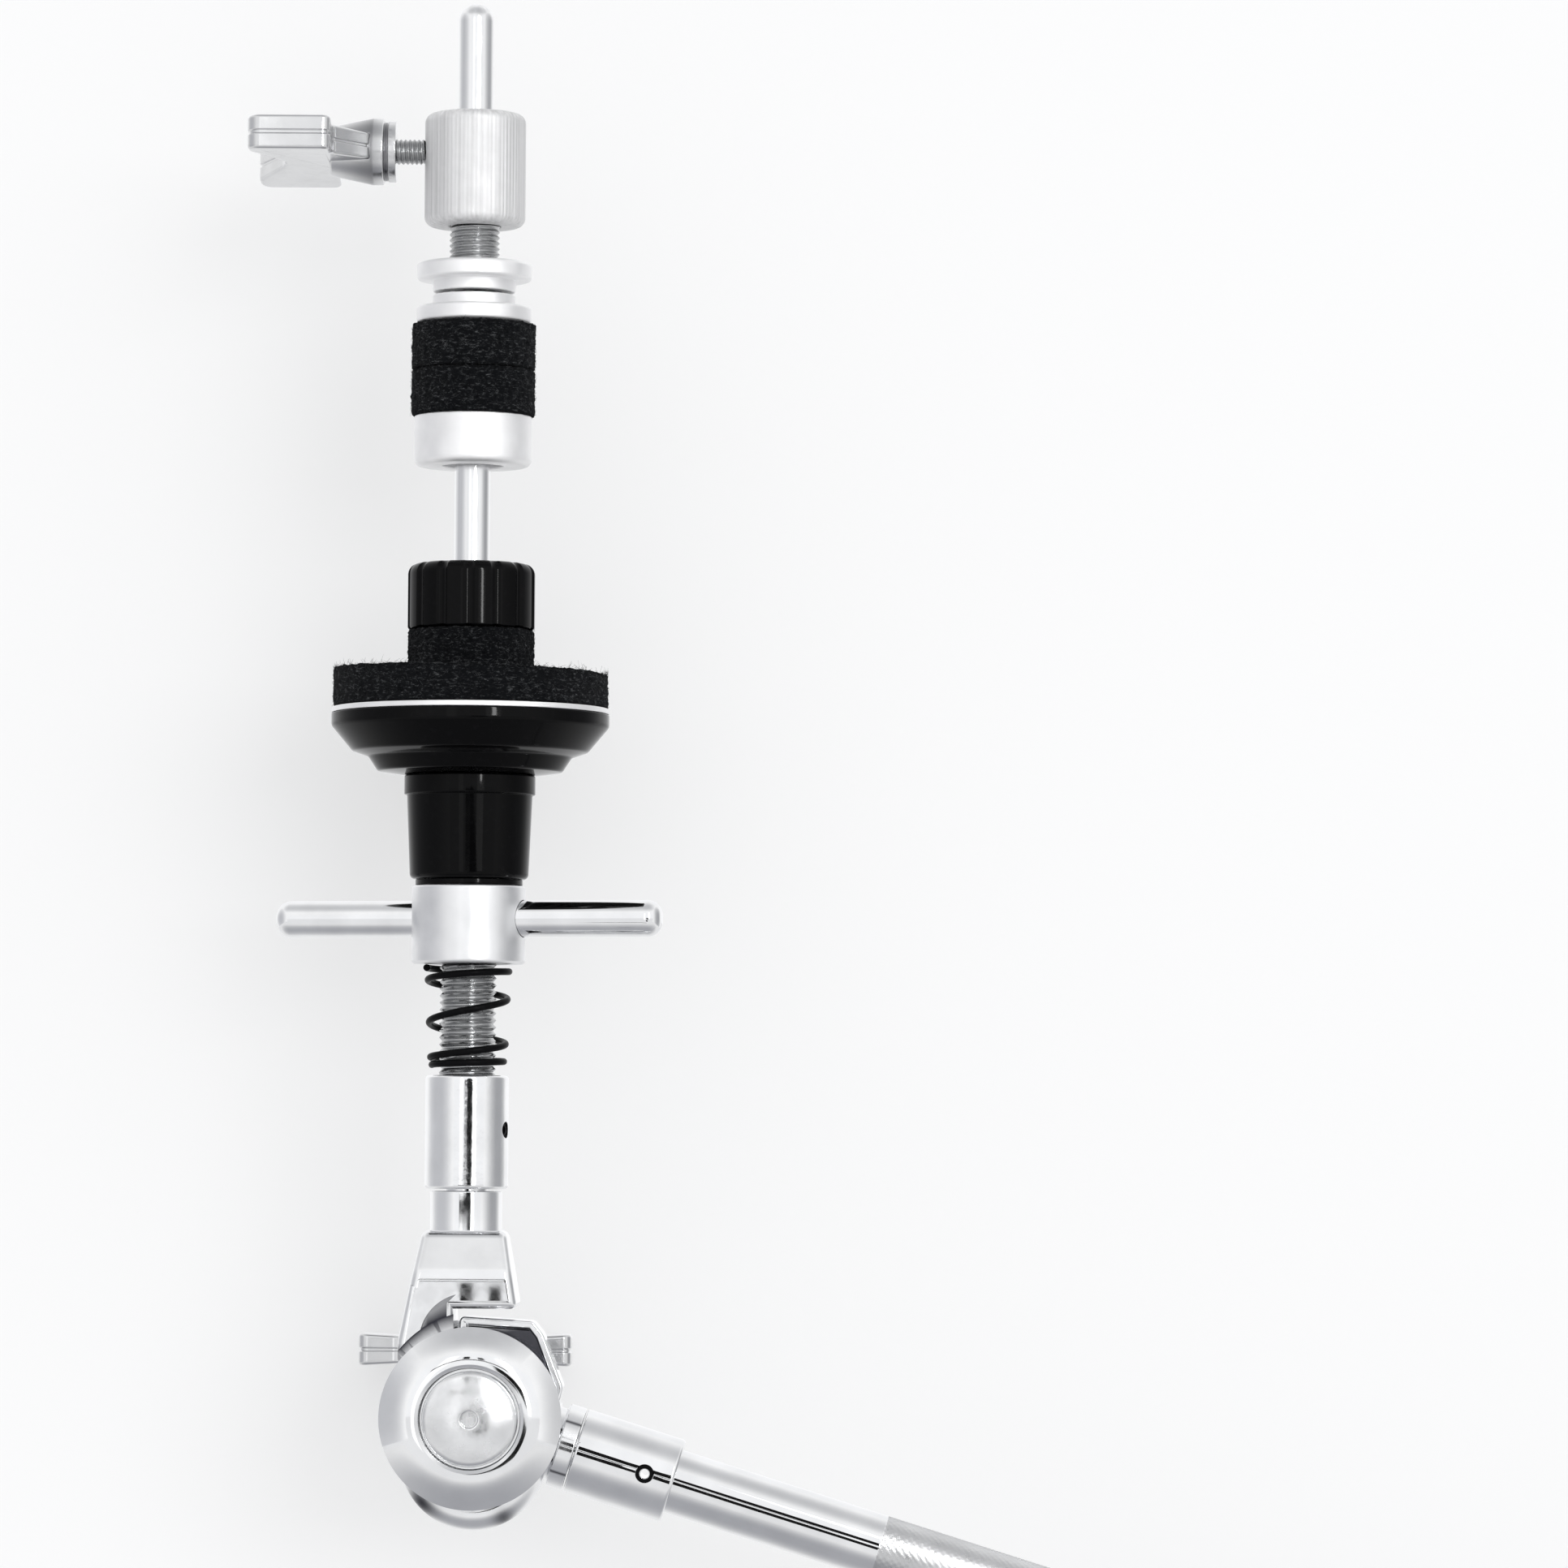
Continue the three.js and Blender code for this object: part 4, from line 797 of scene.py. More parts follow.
class HIHAT_OT_lower_casting(bpy.types.Operator):
    """Lower tilter casting: drum, chin, stop ear with its framed face, boss and spigot"""

    bl_idname = "hihat.lower_casting"
    bl_label = "Lower Casting"

    def execute(self, context):
        size = sizes()
        low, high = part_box("tilter_lower_casting")
        rod = ROD.origin[0] - PIVOT.origin[0]
        half = extent("pivot_bush", PIVOT).end + size.play
        drum = 16 * MM
        bottom = low[2] - PIVOT.origin[2]
        chin = 13 * MM
        chin_centre = (0.4 * MM, bottom + chin)
        width = high[1]
        ear_top = high[2] - PIVOT.origin[2]
        stop = rod - 0.7 * MM
        brow = (10.9 * MM, 16.6 * MM)
        shade = (4.6 * MM, 3.2 * MM)
        fall = (brow[1] + 0.6 * MM - ear_top) / (brow[0] - stop)
        outline = [
            (stop, 8 * MM, 0.6 * MM), (15 * MM, 0, 0.6 * MM), (16.3 * MM, 5.5 * MM, 2 * MM),
            (brow[0] + 1.8 * MM, brow[1] - 1.7 * MM, 2.2 * MM), (brow[0], brow[1] + 0.6 * MM, 1.2 * MM),
            *((x, ear_top + fall * (x - stop), 0) for x in shade), (stop, ear_top, 0.9 * MM),
        ]
        rim, sunk = 1.15 * MM, 0.5 * MM
        ear = plate(
            outline,
            [
                (1.2 * MM, -half, 0), (0, -half, 0.5 * MM), (0, half, 0.4 * MM), (rim, half, 0.15 * MM),
                (rim + 0.3 * MM, half - sunk, 0.15 * MM), (rim + 0.6 * MM, half - sunk, 0),
            ],
        )
        arm = extent("arm_sleeve", ARM)
        spigot = extent("tilter_lower_casting", ARM)
        tube = extent("boom_arm", ARM)
        boss = turned(
            [
                (0, 9 * MM, 0), (half, 9 * MM, 0), (half, 15.9 * MM, 0.2 * MM),
                (arm.radius, 16.2 * MM, 0.3 * MM), (arm.radius, arm.start - 3 * size.play, size.edge),
                (0, arm.start - 3 * size.play, 0),
            ],
            ARM,
        )
        core = tube.radius - 1.56 * MM - 2 * size.play
        peg = bar(core, 10 * MM, spigot.end, ARM, 64, (0, size.edge))
        chin_rim = carved(
            solid("chin", disc(chin, -width, width, 3.2 * MM, chin_centre)),
            ("DIFFERENCE", disc(drum - 0.1 * MM, -2 * width, -half, 0)),
            ("DIFFERENCE", disc(drum + 0.1 * MM, half, 2 * width, 0)),
        )
        pin = extent("arm_roll_pin", PIN)
        reach = 2 * arm.radius
        bush = extent("pivot_bush", PIVOT)
        body = carved(
            solid("lower_casting", disc(drum, -half, half, 0.4 * MM)),
            ("UNION", ear), ("UNION", boss), ("UNION", peg), ("UNION", chin_rim),
            ("DIFFERENCE", bar(pin.radius + size.play, -reach, reach, PIN, 40)),
            ("DIFFERENCE", disc(bush.radius + size.play, -2 * half, 2 * half, 0, sides=64)),
        )

        def painted_shade_at(x, z, y, nx, nz, ny):
            """Painted shade in the ear's sunk face, and painted dark reflections along the low corners of the
            chin.
            """
            face = (y > half - 1.5 * sunk) & (y < half - 0.6 * sunk) & (ny > 0.5)
            ear_shade = face * (0.2 + 0.75 * ramp(x, shade[1], shade[0]))
            around = np.degrees(np.arctan2(z - chin_centre[1], x - chin_centre[0]))
            low = np.exp(-(((around + 138) / 16) ** 2)) + 0.8 * np.exp(-(((around + 62) / 9) ** 2))
            from_centre = np.hypot(x - chin_centre[0], z - chin_centre[1])
            rim_share = ramp(from_centre, chin - 3.2 * MM, chin - 1.2 * MM)
            return ear_shade + low * rim_share * (y > half) * 0.95

        # shade in the ear's recess and dark reflections on the chin are painted into the casting's colour
        paint_shade(body, painted_shade_at)
        fit(body, "cast_chrome", "chrome", "boom", "tilter_lower_casting")
        keep("pivot_bush", "black_nylon")
        return {"FINISHED"}


class HIHAT_OT_upper_casting(bpy.types.Operator):
    """Upper tilter casting: neck, flared body with its lobe, and the two cheeks round the drum"""

    bl_idname = "hihat.upper_casting"
    bl_label = "Upper Casting"

    def execute(self, context):
        size = sizes()
        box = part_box("tilter_upper_casting")
        rod = ROD.origin[0] - PIVOT.origin[0]
        front, rear = -box[0][1], box[1][1]
        shoulder = extent("coupler", ROD).start - PIVOT.origin[2] - 7.3 * MM
        inner = extent("pivot_bush", PIVOT).end + 0.35 * MM
        cheek, drum = 15.5 * MM, 16.3 * MM
        wall = rod - 1.7 * MM
        lobe_end = math.radians(143)
        lobe = (drum * math.cos(lobe_end), drum * math.sin(lobe_end))
        sill = 19.4 * MM
        waist = 7.45 * MM
        flank = 13.7 * MM
        brow = 25.4 * MM
        edge = 1.3 * MM

        def section(height):
            """Half widths left and right of the rod, and half the depth, at a height above the pivot."""
            share = (shoulder - height) / (shoulder - flank)
            left = waist + (11.5 * MM - waist) * share
            right = waist + (9.7 * MM - waist) * (shoulder - height) / (shoulder - sill)
            over, soft = height - brow, 1.2 * MM
            lean = max(over, 0) if abs(over) > soft else (over + soft) ** 2 / (4 * soft)
            return left, right, front - lean * (front - waist) / (shoulder - brow)

        arc = np.linspace(0, math.pi / 2, 9)
        foot = [(sill + edge * (1 - math.sin(a)), edge * (1 - math.cos(a))) for a in arc[::-1]]
        crown = [(shoulder - edge * (1 - math.sin(a)), edge * (1 - math.cos(a))) for a in arc]
        flanks = [(height, 0) for height in np.linspace(sill + edge, shoulder - edge, 48)[1:-1]]
        rows = []
        for height, inset in foot + flanks + crown:
            left, right, depth = section(height)
            corner = 1.5 * MM
            box_line, outward = rounded(
                [
                    (rod - left, -depth, corner), (rod + right, -depth, corner),
                    (rod + right, depth, corner), (rod - left, depth, corner),
                ],
                loop=True,
            )
            box_line = box_line - outward * inset
            rows.append(np.stack([box_line[:, 0], box_line[:, 1], np.full(len(box_line), height)], axis=1))
        right, up, toward = PIVOT.turn.T
        upright = Axis(PIVOT.origin, np.stack([right, -toward, up], axis=1))
        flare = closed_grid(settled(np.array(rows), upright))

        top = sill + 4.5 * MM
        lobe_line = [
            (rod - section(top)[0], top, 0), (rod - 11.5 * MM, flank, 3 * MM), (*lobe, 0.8 * MM),
            (wall, lobe[1], 0.6 * MM), (wall, top, 0),
        ]
        lobe_piece = slab(lobe_line, -front, front, edge)
        neck_radius = 6.42 * MM
        coupler = extent("coupler", ROD)
        stud = 3.9 * MM
        neck_foot, neck_top = shoulder + PIVOT.origin[2] - 2 * MM, coupler.start - 4 * size.play
        stud_top = coupler.start + 5.8 * MM
        neck = turned(
            [
                (0, neck_foot, 0), (neck_radius, neck_foot, 0), (neck_radius, neck_top, size.edge),
                (stud, neck_top, 0), (stud, stud_top, size.edge), (0, stud_top, 0),
            ],
        )
        sunk = front - 2 * MM
        recess_radius, recess_centre = 18.6 * MM, (1.8 * MM, 0.5 * MM)
        recess = disc(recess_radius, sunk, 2 * front, 0, recess_centre)
        arch = (-0.6 * MM, 13.6 * MM)
        arch_radius = 8.6 * MM
        bow = [
            (arch[0] + arch_radius * math.cos(a), arch[1] + arch_radius * math.sin(a), 0)
            for a in np.radians(np.linspace(104, 184, 20))
        ]
        beside_bar = [(-4.3 * MM, 11 * MM, 0), (-4.3 * MM, 20.4 * MM, 0)]
        hollow = plate([*bow, *beside_bar], [(0, sunk, 0), (0, 2 * front, 0)])
        swept = 21 * MM
        sweep = np.linspace(math.radians(-30), math.acos(wall / swept), 40)
        swing = [(swept * math.cos(a), swept * math.sin(a), 0) for a in sweep] + [(wall, -8 * MM, 0)]
        swing_room = plate(swing, [(0, -inner, 0), (0, inner, 0)])
        brake_hole = extent("brake_screw", BRAKE_SCREW).radius + size.play
        pad = extent("brake_pad", BRAKE_SCREW)
        pad_room = pad.radius + 2 * size.play

        body = carved(
            solid("upper_casting", flare),
            ("UNION", lobe_piece), ("DIFFERENCE", recess), ("DIFFERENCE", hollow),
            ("UNION", disc(cheek, 0, front, 0.8 * MM)), ("UNION", disc(cheek, -rear, 0.5 * MM, 0.9 * MM)),
            ("UNION", neck),
            ("DIFFERENCE", disc(drum, -inner, inner, 0)), ("DIFFERENCE", swing_room),
            ("DIFFERENCE", bar(brake_hole, 0, 2 * rear, BRAKE_SCREW, 48)),
            ("DIFFERENCE", bar(pad_room, 0, pad.end + 1.2 * MM, BRAKE_SCREW, 48)),
            ("DIFFERENCE", disc(4.15 * MM, -2 * rear, 2 * rear, 0, sides=64)),
        )

        def painted_shade_at(x, z, y, nx, nz, ny):
            """Painted shade on the recess's floor and wall."""
            around = np.hypot(x - recess_centre[0], z - recess_centre[1])
            in_arch = np.hypot(x - arch[0], z - arch[1]) < arch_radius + 0.1 * MM
            on_floor = np.abs(y - sunk) < 0.05 * MM
            floor = on_floor & ((around < recess_radius + 0.1 * MM) | in_arch) & (np.hypot(x, z) > cheek)
            on_wall = (y > sunk - 0.1 * MM) & (y < front - 0.4 * MM)
            return floor * 0.62 + (on_wall & (np.abs(around - recess_radius) < 0.06 * MM)) * 0.8

        # shade in the front recess is painted into the casting's colour
        paint_shade(body, painted_shade_at)
        fit(body, "cast_chrome", "chrome", "tilter", "tilter_upper_casting")
        return {"FINISHED"}


class HIHAT_OT_pivot(bpy.types.Operator):
    """Domed cap disc, pivot bolt, its washer and its hexagon nut"""

    bl_idname = "hihat.pivot"
    bl_label = "Pivot"

    def execute(self, context):
        size = sizes()
        cap, bolt, washer, nut = (
            extent(n, PIVOT) for n in ("pivot_cap_disc", "pivot_bolt", "pivot_washer", "pivot_nut")
        )
        head = 8.45 * MM
        shaft = 4 * MM
        bore = shaft + 0.15 * MM
        groove = head + 0.5 * MM
        floor = cap.start + 1.9 * MM
        lip = groove + 0.7 * MM
        rise = np.linspace(0, 1, 16)
        crown = [
            (cap.radius + (lip - cap.radius) * t, cap.start + 1.3 * MM + (cap.end - cap.start - 1.3 * MM)
             * math.sin(t * math.pi / 2), 0)
            for t in rise
        ]
        shell = turned(
            [
                (bore, cap.start, 0), (cap.radius - 0.3 * MM, cap.start, 0.2 * MM),
                (cap.radius, cap.start + 0.4 * MM, 0.2 * MM), *crown,
                (groove, cap.end - 0.5 * MM, 0.4 * MM), (groove, floor, 0.1 * MM), (bore, floor, 0),
            ],
            PIVOT, 160,
        )
        fit(solid("cap_disc", shell), "polished_chrome", "chrome", "tilter", "pivot_cap_disc")

        seat = floor + 0.05 * MM
        rim = seat + 2.4 * MM
        dome = [
            (head * (1 - 0.8 * t), rim + (bolt.end - rim) * math.sin(t * math.pi / 2), 0) for t in rise[:-1]
        ]
        key = 1.5 * MM
        shell = turned(
            [
                (0, bolt.start, 0), (shaft, bolt.start, 0.5 * MM), (shaft, seat, 0), (head, seat, 0.2 * MM),
                (head, rim - 0.3 * MM, 0.15 * MM), *dome[1:], (key, bolt.end, 0.3 * MM),
                (key, bolt.end - 1.6 * MM, 0.1 * MM), (0, bolt.end - 1.6 * MM, 0),
            ],
            PIVOT, 128,
        )
        fit(solid("bolt", shell), "hammered_chrome", "chrome", "tilter", "pivot_bolt")

        edges = (0, size.edge / 2, size.edge / 2, 0)
        shell = ring(bore, washer.radius, washer.start, washer.end, PIVOT, 72, edges)
        fit(solid("washer", shell), "bright_steel", "steel", "tilter", "pivot_washer")

        around = np.arange(6) * FULL_TURN / 6
        hexagon = [(nut.radius * math.cos(a), nut.radius * math.sin(a), 0.3 * MM) for a in around]
        hole = disc(bore, 2 * nut.start, 0, 0, sides=48)
        body = carved(solid("nut", slab(hexagon, nut.start, nut.end, 0.5 * MM)), ("DIFFERENCE", hole))
        fit(body, "bright_steel", "steel", "tilter", "pivot_nut")
        return {"FINISHED"}


# ------------------------------------------------------------------ wing screws

def wing(name, place, span, reach, start, thickness, flange, hub, base):
    """A cast wing: a stepped hub and two blades, thicker towards their tips and grooved across them.

    The blades' outline is carried through their thickness with rounded edges, and the thickness grows
    from three quarters at the hub to all of it at the tips.
    """
    def z(height):
        return base + height

    neck = hub - 0.7 * MM
    core = turned(
        [
            (0, z(0), 0), (flange, z(0), 0.2 * MM), (flange, z(1.3 * MM), 0.3 * MM),
            (neck, z(1.5 * MM), 0.1 * MM), (neck, z(2.1 * MM), 0.1 * MM),
            (hub, z(2.3 * MM), 0.3 * MM), (hub, z(4.2 * MM), 0.6 * MM),
            (hub - 1.6 * MM, z(start + 1 * MM), 0.5 * MM), (0, z(start + 1 * MM), 0),
        ],
        place, 96,
    )
    half = span / 2
    side = [
        (0.3 * half, z(4.4 * MM), 3 * MM), (0.64 * half, z(start), 2.5 * MM), (half, z(start), 1.6 * MM),
        (half, z(reach), 2.4 * MM), (0.74 * half, z(reach), 2.5 * MM),
    ]
    mirrored = [(-x, y, r) for x, y, r in reversed(side)]
    outline = [*side, (0, z(reach - 6.6 * MM), 9 * MM), *mirrored, (0, z(3.6 * MM), 1 * MM)]
    edge, outward = rounded(outline, loop=True)
    path, _ = rounded([
        (1.2 * MM, -thickness / 2, 0), (0, -thickness / 2, 0.7 * MM), (0, -0.45 * MM, 0.2 * MM),
        (0.3 * MM, -0.2 * MM, 0.1 * MM), (0.3 * MM, 0.2 * MM, 0.1 * MM), (0, 0.45 * MM, 0.2 * MM),
        (0, thickness / 2, 0.7 * MM), (1.2 * MM, thickness / 2, 0),
    ])
    flat = edge[None] - outward[None] * path[:, None, :1]
    share = 0.72 + 0.28 * np.clip(np.abs(flat[..., :1]) / half, 0, 1) ** 1.5
    depth = path[:, None, 1:] * share
    local = np.concatenate([flat[..., :1], -depth, flat[..., 1:]], axis=-1)
    blades = closed_grid(settled(local, place))
    item = carved(solid(name, core), ("UNION", blades))

    def painted_shade_at(x, y, height, nx, ny, nz):
        """Painted shade in the hub's groove and where the blades grow out of the hub."""
        groove = np.exp(-(((height - z(1.8 * MM)) / (0.5 * MM)) ** 2)) * (np.hypot(x, y) < flange)
        root = np.exp(-(((height - z(4.4 * MM)) / (0.5 * MM)) ** 2)) * (np.hypot(x, y) > 0.9 * hub)
        return 0.85 * groove + 0.55 * root

    # shade in the groove and at the blade roots is painted into the colour
    return paint_shade(item, painted_shade_at, place)


def shank(node, place):
    """A screw's threaded shank."""
    size = sizes()
    screw = extent(node, place)
    thread = ridges(size.screw_pitch, size.screw_depth, screw.start + size.edge, screw.end, screw.radius)
    return bar(
        screw.radius, screw.start, screw.end, place, 64, (2 * size.edge, size.edge),
        relief=thread, step=size.screw_pitch / 10, inside=0.5 * screw.radius,
    )


class HIHAT_OT_wing_screws(bpy.types.Operator):
    """Clutch screw and brake screw with their cast wings, and the brake pad"""

    bl_idname = "hihat.wing_screws"
    bl_label = "Wing Screws"

    def execute(self, context):
        clutch = extent("clutch_wing", CLUTCH_SCREW)
        turn = math.radians(3)
        tilted = axis(CLUTCH_SCREW.origin, (-1, 0, 0), (0, math.cos(turn), -math.sin(turn)))
        body = wing(
            "clutch_wing_casting", tilted, 38 * MM, clutch.end - clutch.start, 10.9 * MM, 6.3 * MM,
            5.5 * MM, 6 * MM, clutch.start,
        )
        fit(body, "wing_chrome", "chrome", "clutch_wing", "clutch_wing")
        screw = solid("clutch_shank", shank("clutch_screw", CLUTCH_SCREW))
        fit(screw, "bright_steel", "steel", "clutch_screw", "clutch_screw")

        brake = extent("brake_wing", BRAKE_SCREW)
        body = wing(
            "brake_wing_casting", BRAKE_SCREW, 38.8 * MM, brake.end - brake.start, 8.5 * MM, 5.9 * MM,
            5.6 * MM, 5.4 * MM, brake.start,
        )
        fit(body, "wing_chrome", "chrome", "brake_wing", "brake_wing")
        screw = solid("brake_shank", shank("brake_screw", BRAKE_SCREW))
        fit(screw, "bright_steel", "steel", "brake_screw", "brake_screw")
        keep("brake_pad", "black_nylon")
        return {"FINISHED"}


# ------------------------------------------------------------------ tension nut and spring

class HIHAT_OT_tension_spring(bpy.types.Operator):
    """Conical tension spring: a round wire carried along a helix whose end coils lie close"""

    bl_idname = "hihat.tension_spring"
    bl_label = "Tension Spring"

    def execute(self, context):
        size = sizes()
        low, high = (corner[2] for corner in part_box("tension_spring"))
        wire = size.wire / 2
        bottom, top = 6.35 * MM, 7.45 * MM
        base, crest = low + 0.55 * MM + wire, high - wire - 0.02 * MM
        t = np.linspace(0, 1, 460)[:, None]
        eased = np.clip((t - 0.22) / 0.64, 0, 1)
        eased = eased * eased * (3 - 2 * eased)
        closed = 1.02 * size.wire * size.spring_turns
        height = base + closed * t + (crest - base - closed) * eased
        angle = FULL_TURN * size.spring_turns * t + math.pi
        radius = bottom + (top - bottom) * t
        line = np.concatenate([radius * np.cos(angle), radius * np.sin(angle), height], axis=1)
        ahead = np.gradient(line, axis=0)
        ahead /= np.linalg.norm(ahead, axis=1, keepdims=True)
        outward = np.concatenate([np.cos(angle), np.sin(angle), 0 * angle], axis=1)
        outward -= ahead * np.sum(outward * ahead, axis=1, keepdims=True)
        outward /= np.linalg.norm(outward, axis=1, keepdims=True)
        beside = np.cross(ahead, outward)
        around = np.linspace(0, FULL_TURN, 20, endpoint=False)[None, :, None]
        ring = outward[:, None] * np.cos(around) + beside[:, None] * np.sin(around)
        grid = line[:, None] + wire * ring
        ends = [
            line[:1, None] + ring[:1] * wire * 0.75 - ahead[:1, None] * 0.15 * MM,
            line[-1:, None] + ring[-1:] * wire * 0.75 + ahead[-1:, None] * 0.15 * MM,
        ]
        grid = np.concatenate([ends[0], grid, ends[1]])
        item = solid("spring", closed_grid(settled(grid, ROD)))
        fit(item, "wire_black", "black_wire", None, "tension_spring")
        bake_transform(item)
        return {"FINISHED"}


class HIHAT_OT_tension_nut(bpy.types.Operator):
    """Tension nut: satin collar and its two polished handles"""

    bl_idname = "hihat.tension_nut"
    bl_label = "Tension Nut"

    def execute(self, context):
        size = sizes()
        collar, stem = extent("tension_collar", ROD), extent("threaded_stem", ROD)
        bore = stem.radius + size.play
        edge = 0.6 * MM
        edges = (size.edge, edge, edge, size.edge)
        shell = ring(bore, collar.radius, collar.start, collar.end, sides=144, edges=edges)
        body = solid("collar", shell)
        for name, place in (("near", NEAR_HANDLE), ("far", FAR_HANDLE)):
            node = f"tension_handle_{name}"
            handle = extent(node, place)
            cutter = bar(handle.radius + 1.5 * size.play, handle.start - edge / 2, handle.end, place, 64)
            carved(body, ("DIFFERENCE", cutter))
            edges = (size.edge, 0.8 * handle.radius)
            shell = bar(handle.radius, handle.start, handle.end, place, 80, edges)
            fit(solid(f"handle_{name}", shell), "polished_chrome", "chrome", "tension_nut", node)
        fit(body, "satin_chrome", "aluminium", "tension_nut", "tension_collar")
        return {"FINISHED"}


# ------------------------------------------------------------------ seat

class HIHAT_OT_seat(bpy.types.Operator):
    """Thrust ring, black hub and cup, bright washer, and the hidden tube and insert"""

    bl_idname = "hihat.seat"
    bl_label = "Seat"

    def execute(self, context):
        size = sizes()
        thrust, hub, cup, washer, tube = (
            extent(n, ROD) for n in ("thrust_ring", "seat_hub", "seat_cup", "seat_washer", "seat_tube")
        )
        stem = extent("threaded_stem", ROD)
        bore = stem.radius + 0.6 * MM
        edge = size.edge
        washer_edges = (0, edge / 2, edge / 2, 0)
        shell = ring(bore, thrust.radius, thrust.start, thrust.end, edges=washer_edges)
        fit(solid("thrust_washer", shell), "gloss_black", "black_plastic", "seat", "thrust_ring")

        foot, shaft = 10.65 * MM, 11.3 * MM
        lip = hub.end - 3.55 * MM
        pocket, pocket_floor = 8.15 * MM, tube.start - 0.05 * MM
        shell = turned(
            [
                (bore, hub.start, 0), (foot, hub.start, 1.1 * MM), (shaft, lip, 0.2 * MM),
                (hub.radius, lip + 0.15 * MM, 0.35 * MM), (hub.radius, hub.end, edge),
                (pocket, hub.end, 0), (pocket, pocket_floor, 0), (bore, pocket_floor, 0),
            ],
            sides=144,
        )
        fit(solid("hub", shell), "gloss_black", "black_plastic", "seat", "seat_hub")

        bore = 4.85 * MM
        ledge = 16.6 * MM
        shell = turned(
            [
                (bore, cup.start, 0), (hub.radius - edge, cup.start, 0.3 * MM),
                (ledge, cup.start + 0.7 * MM, 0.9 * MM), (ledge + 1.7 * MM, cup.start + 3.3 * MM, 0.9 * MM),
                (cup.radius - 3.8 * MM, cup.start + 4.3 * MM, 1.2 * MM),
                (cup.radius, cup.end - 2.2 * MM, 1.2 * MM), (cup.radius, cup.end, edge), (bore, cup.end, 0),
            ],
            sides=192,
        )
        fit(solid("cup", shell), "gloss_black", "black_plastic", "seat", "seat_cup")

        shell = ring(bore, washer.radius, washer.start, washer.end, sides=192, edges=washer_edges)
        fit(solid("seat_plate", shell), "turned_aluminium", "steel", "seat", "seat_washer")
        keep("seat_tube", "bright_steel")
        keep("seat_knob_insert", "turned_brass")
        return {"FINISHED"}


class HIHAT_OT_knob(bpy.types.Operator):
    """Fluted knob: a turned cap whose wall dips at each flute"""

    bl_idname = "hihat.knob"
    bl_label = "Knob"

    def execute(self, context):
        size = sizes()
        knob, insert, rod = (extent(n, ROD) for n in ("seat_knob", "seat_knob_insert", "pull_rod"))
        radius = knob.radius
        roof = knob.end - 2.4 * MM
        cavity = insert.radius + size.play
        hole = rod.radius + 0.3 * MM
        half_flute = 0.42

        def flutes(angle, at_radius, height):
            """Each flute is a parabola across its own share of the turn, on the outer wall only."""
            turn = (angle * size.flutes / FULL_TURN) % 1 - 0.5
            dip = np.clip(1 - (turn / (0.5 * half_flute)) ** 2, 0, 1)
            return -size.flute_depth * dip * np.clip((at_radius - 0.8 * radius) / (0.18 * radius), 0, 1)

        shell = turned(
            [
                (cavity, knob.start, 0), (radius, knob.start, 0.5 * MM), (radius, knob.end, 2 * MM),
                (hole, knob.end, 0.4 * MM), (hole, roof, 0), (cavity, roof, 0),
            ],
            sides=24 * size.flutes, relief=flutes, step=0.6 * MM, inside=0.8 * radius,
        )
        fit(solid("knob_cap", shell), "gloss_black", "black_plastic", "knob", "seat_knob")
        return {"FINISHED"}


# ------------------------------------------------------------------ felts

def fibres(rng, anchors, outward, along, longest, width):
    """Loose fibres on a felt: each a thin three-sided strand bent over its own arc.

    Point t of a fibre stands at its anchor, plus its length times t along its direction, plus a lift
    that follows a sine of t. Three corners stand round each point, thinner towards the tip.
    """
    count = len(anchors)
    t = np.linspace(0, 1, 4)[None, :, None]
    reach = (0.25 + 0.75 * rng.random((count, 1, 1)) ** 2) * longest
    upward = rng.normal(0, 1, (count, 1, 1)) * np.array([0, 0, 1])
    way = along[:, None] * rng.choice([-1, 1], (count, 1, 1)) + upward
    way /= np.linalg.norm(way, axis=2, keepdims=True)
    lift = (0.02 + 0.2 * rng.random((count, 1, 1)) ** 2) * longest
    line = anchors[:, None] + way * reach * t + outward[:, None] * (lift * np.sin(2.2 * t) - 0.03 * MM)
    side = np.cross(way, outward[:, None])
    angle = np.arange(3) * FULL_TURN / 3
    spoke = side[:, :, None] * np.cos(angle)[:, None] + outward[:, None, None] * np.sin(angle)[:, None]
    thick = width * (1 - 0.6 * t)[..., None]
    points = (line[:, :, None] + spoke * thick).reshape(-1, 3)
    step = np.arange(3)
    low = step[:, None] * 3 + np.arange(3)[None]
    ring = np.stack([low, step[:, None] * 3 + (np.arange(3)[None] + 1) % 3], axis=-1)
    quads = np.concatenate([ring, ring[..., ::-1] + 3], axis=-1).reshape(-1, 4)
    start = np.arange(count)[:, None, None] * 12
    quads = (start + quads[None]).reshape(-1)
    ends = (start + np.array([[2, 1, 0], [9, 10, 11]])[None]).reshape(-1)
    counts = np.concatenate([np.full(9 * count, 4), np.full(2 * count, 3)])
    return Shell(points, np.concatenate([quads, ends]), counts)


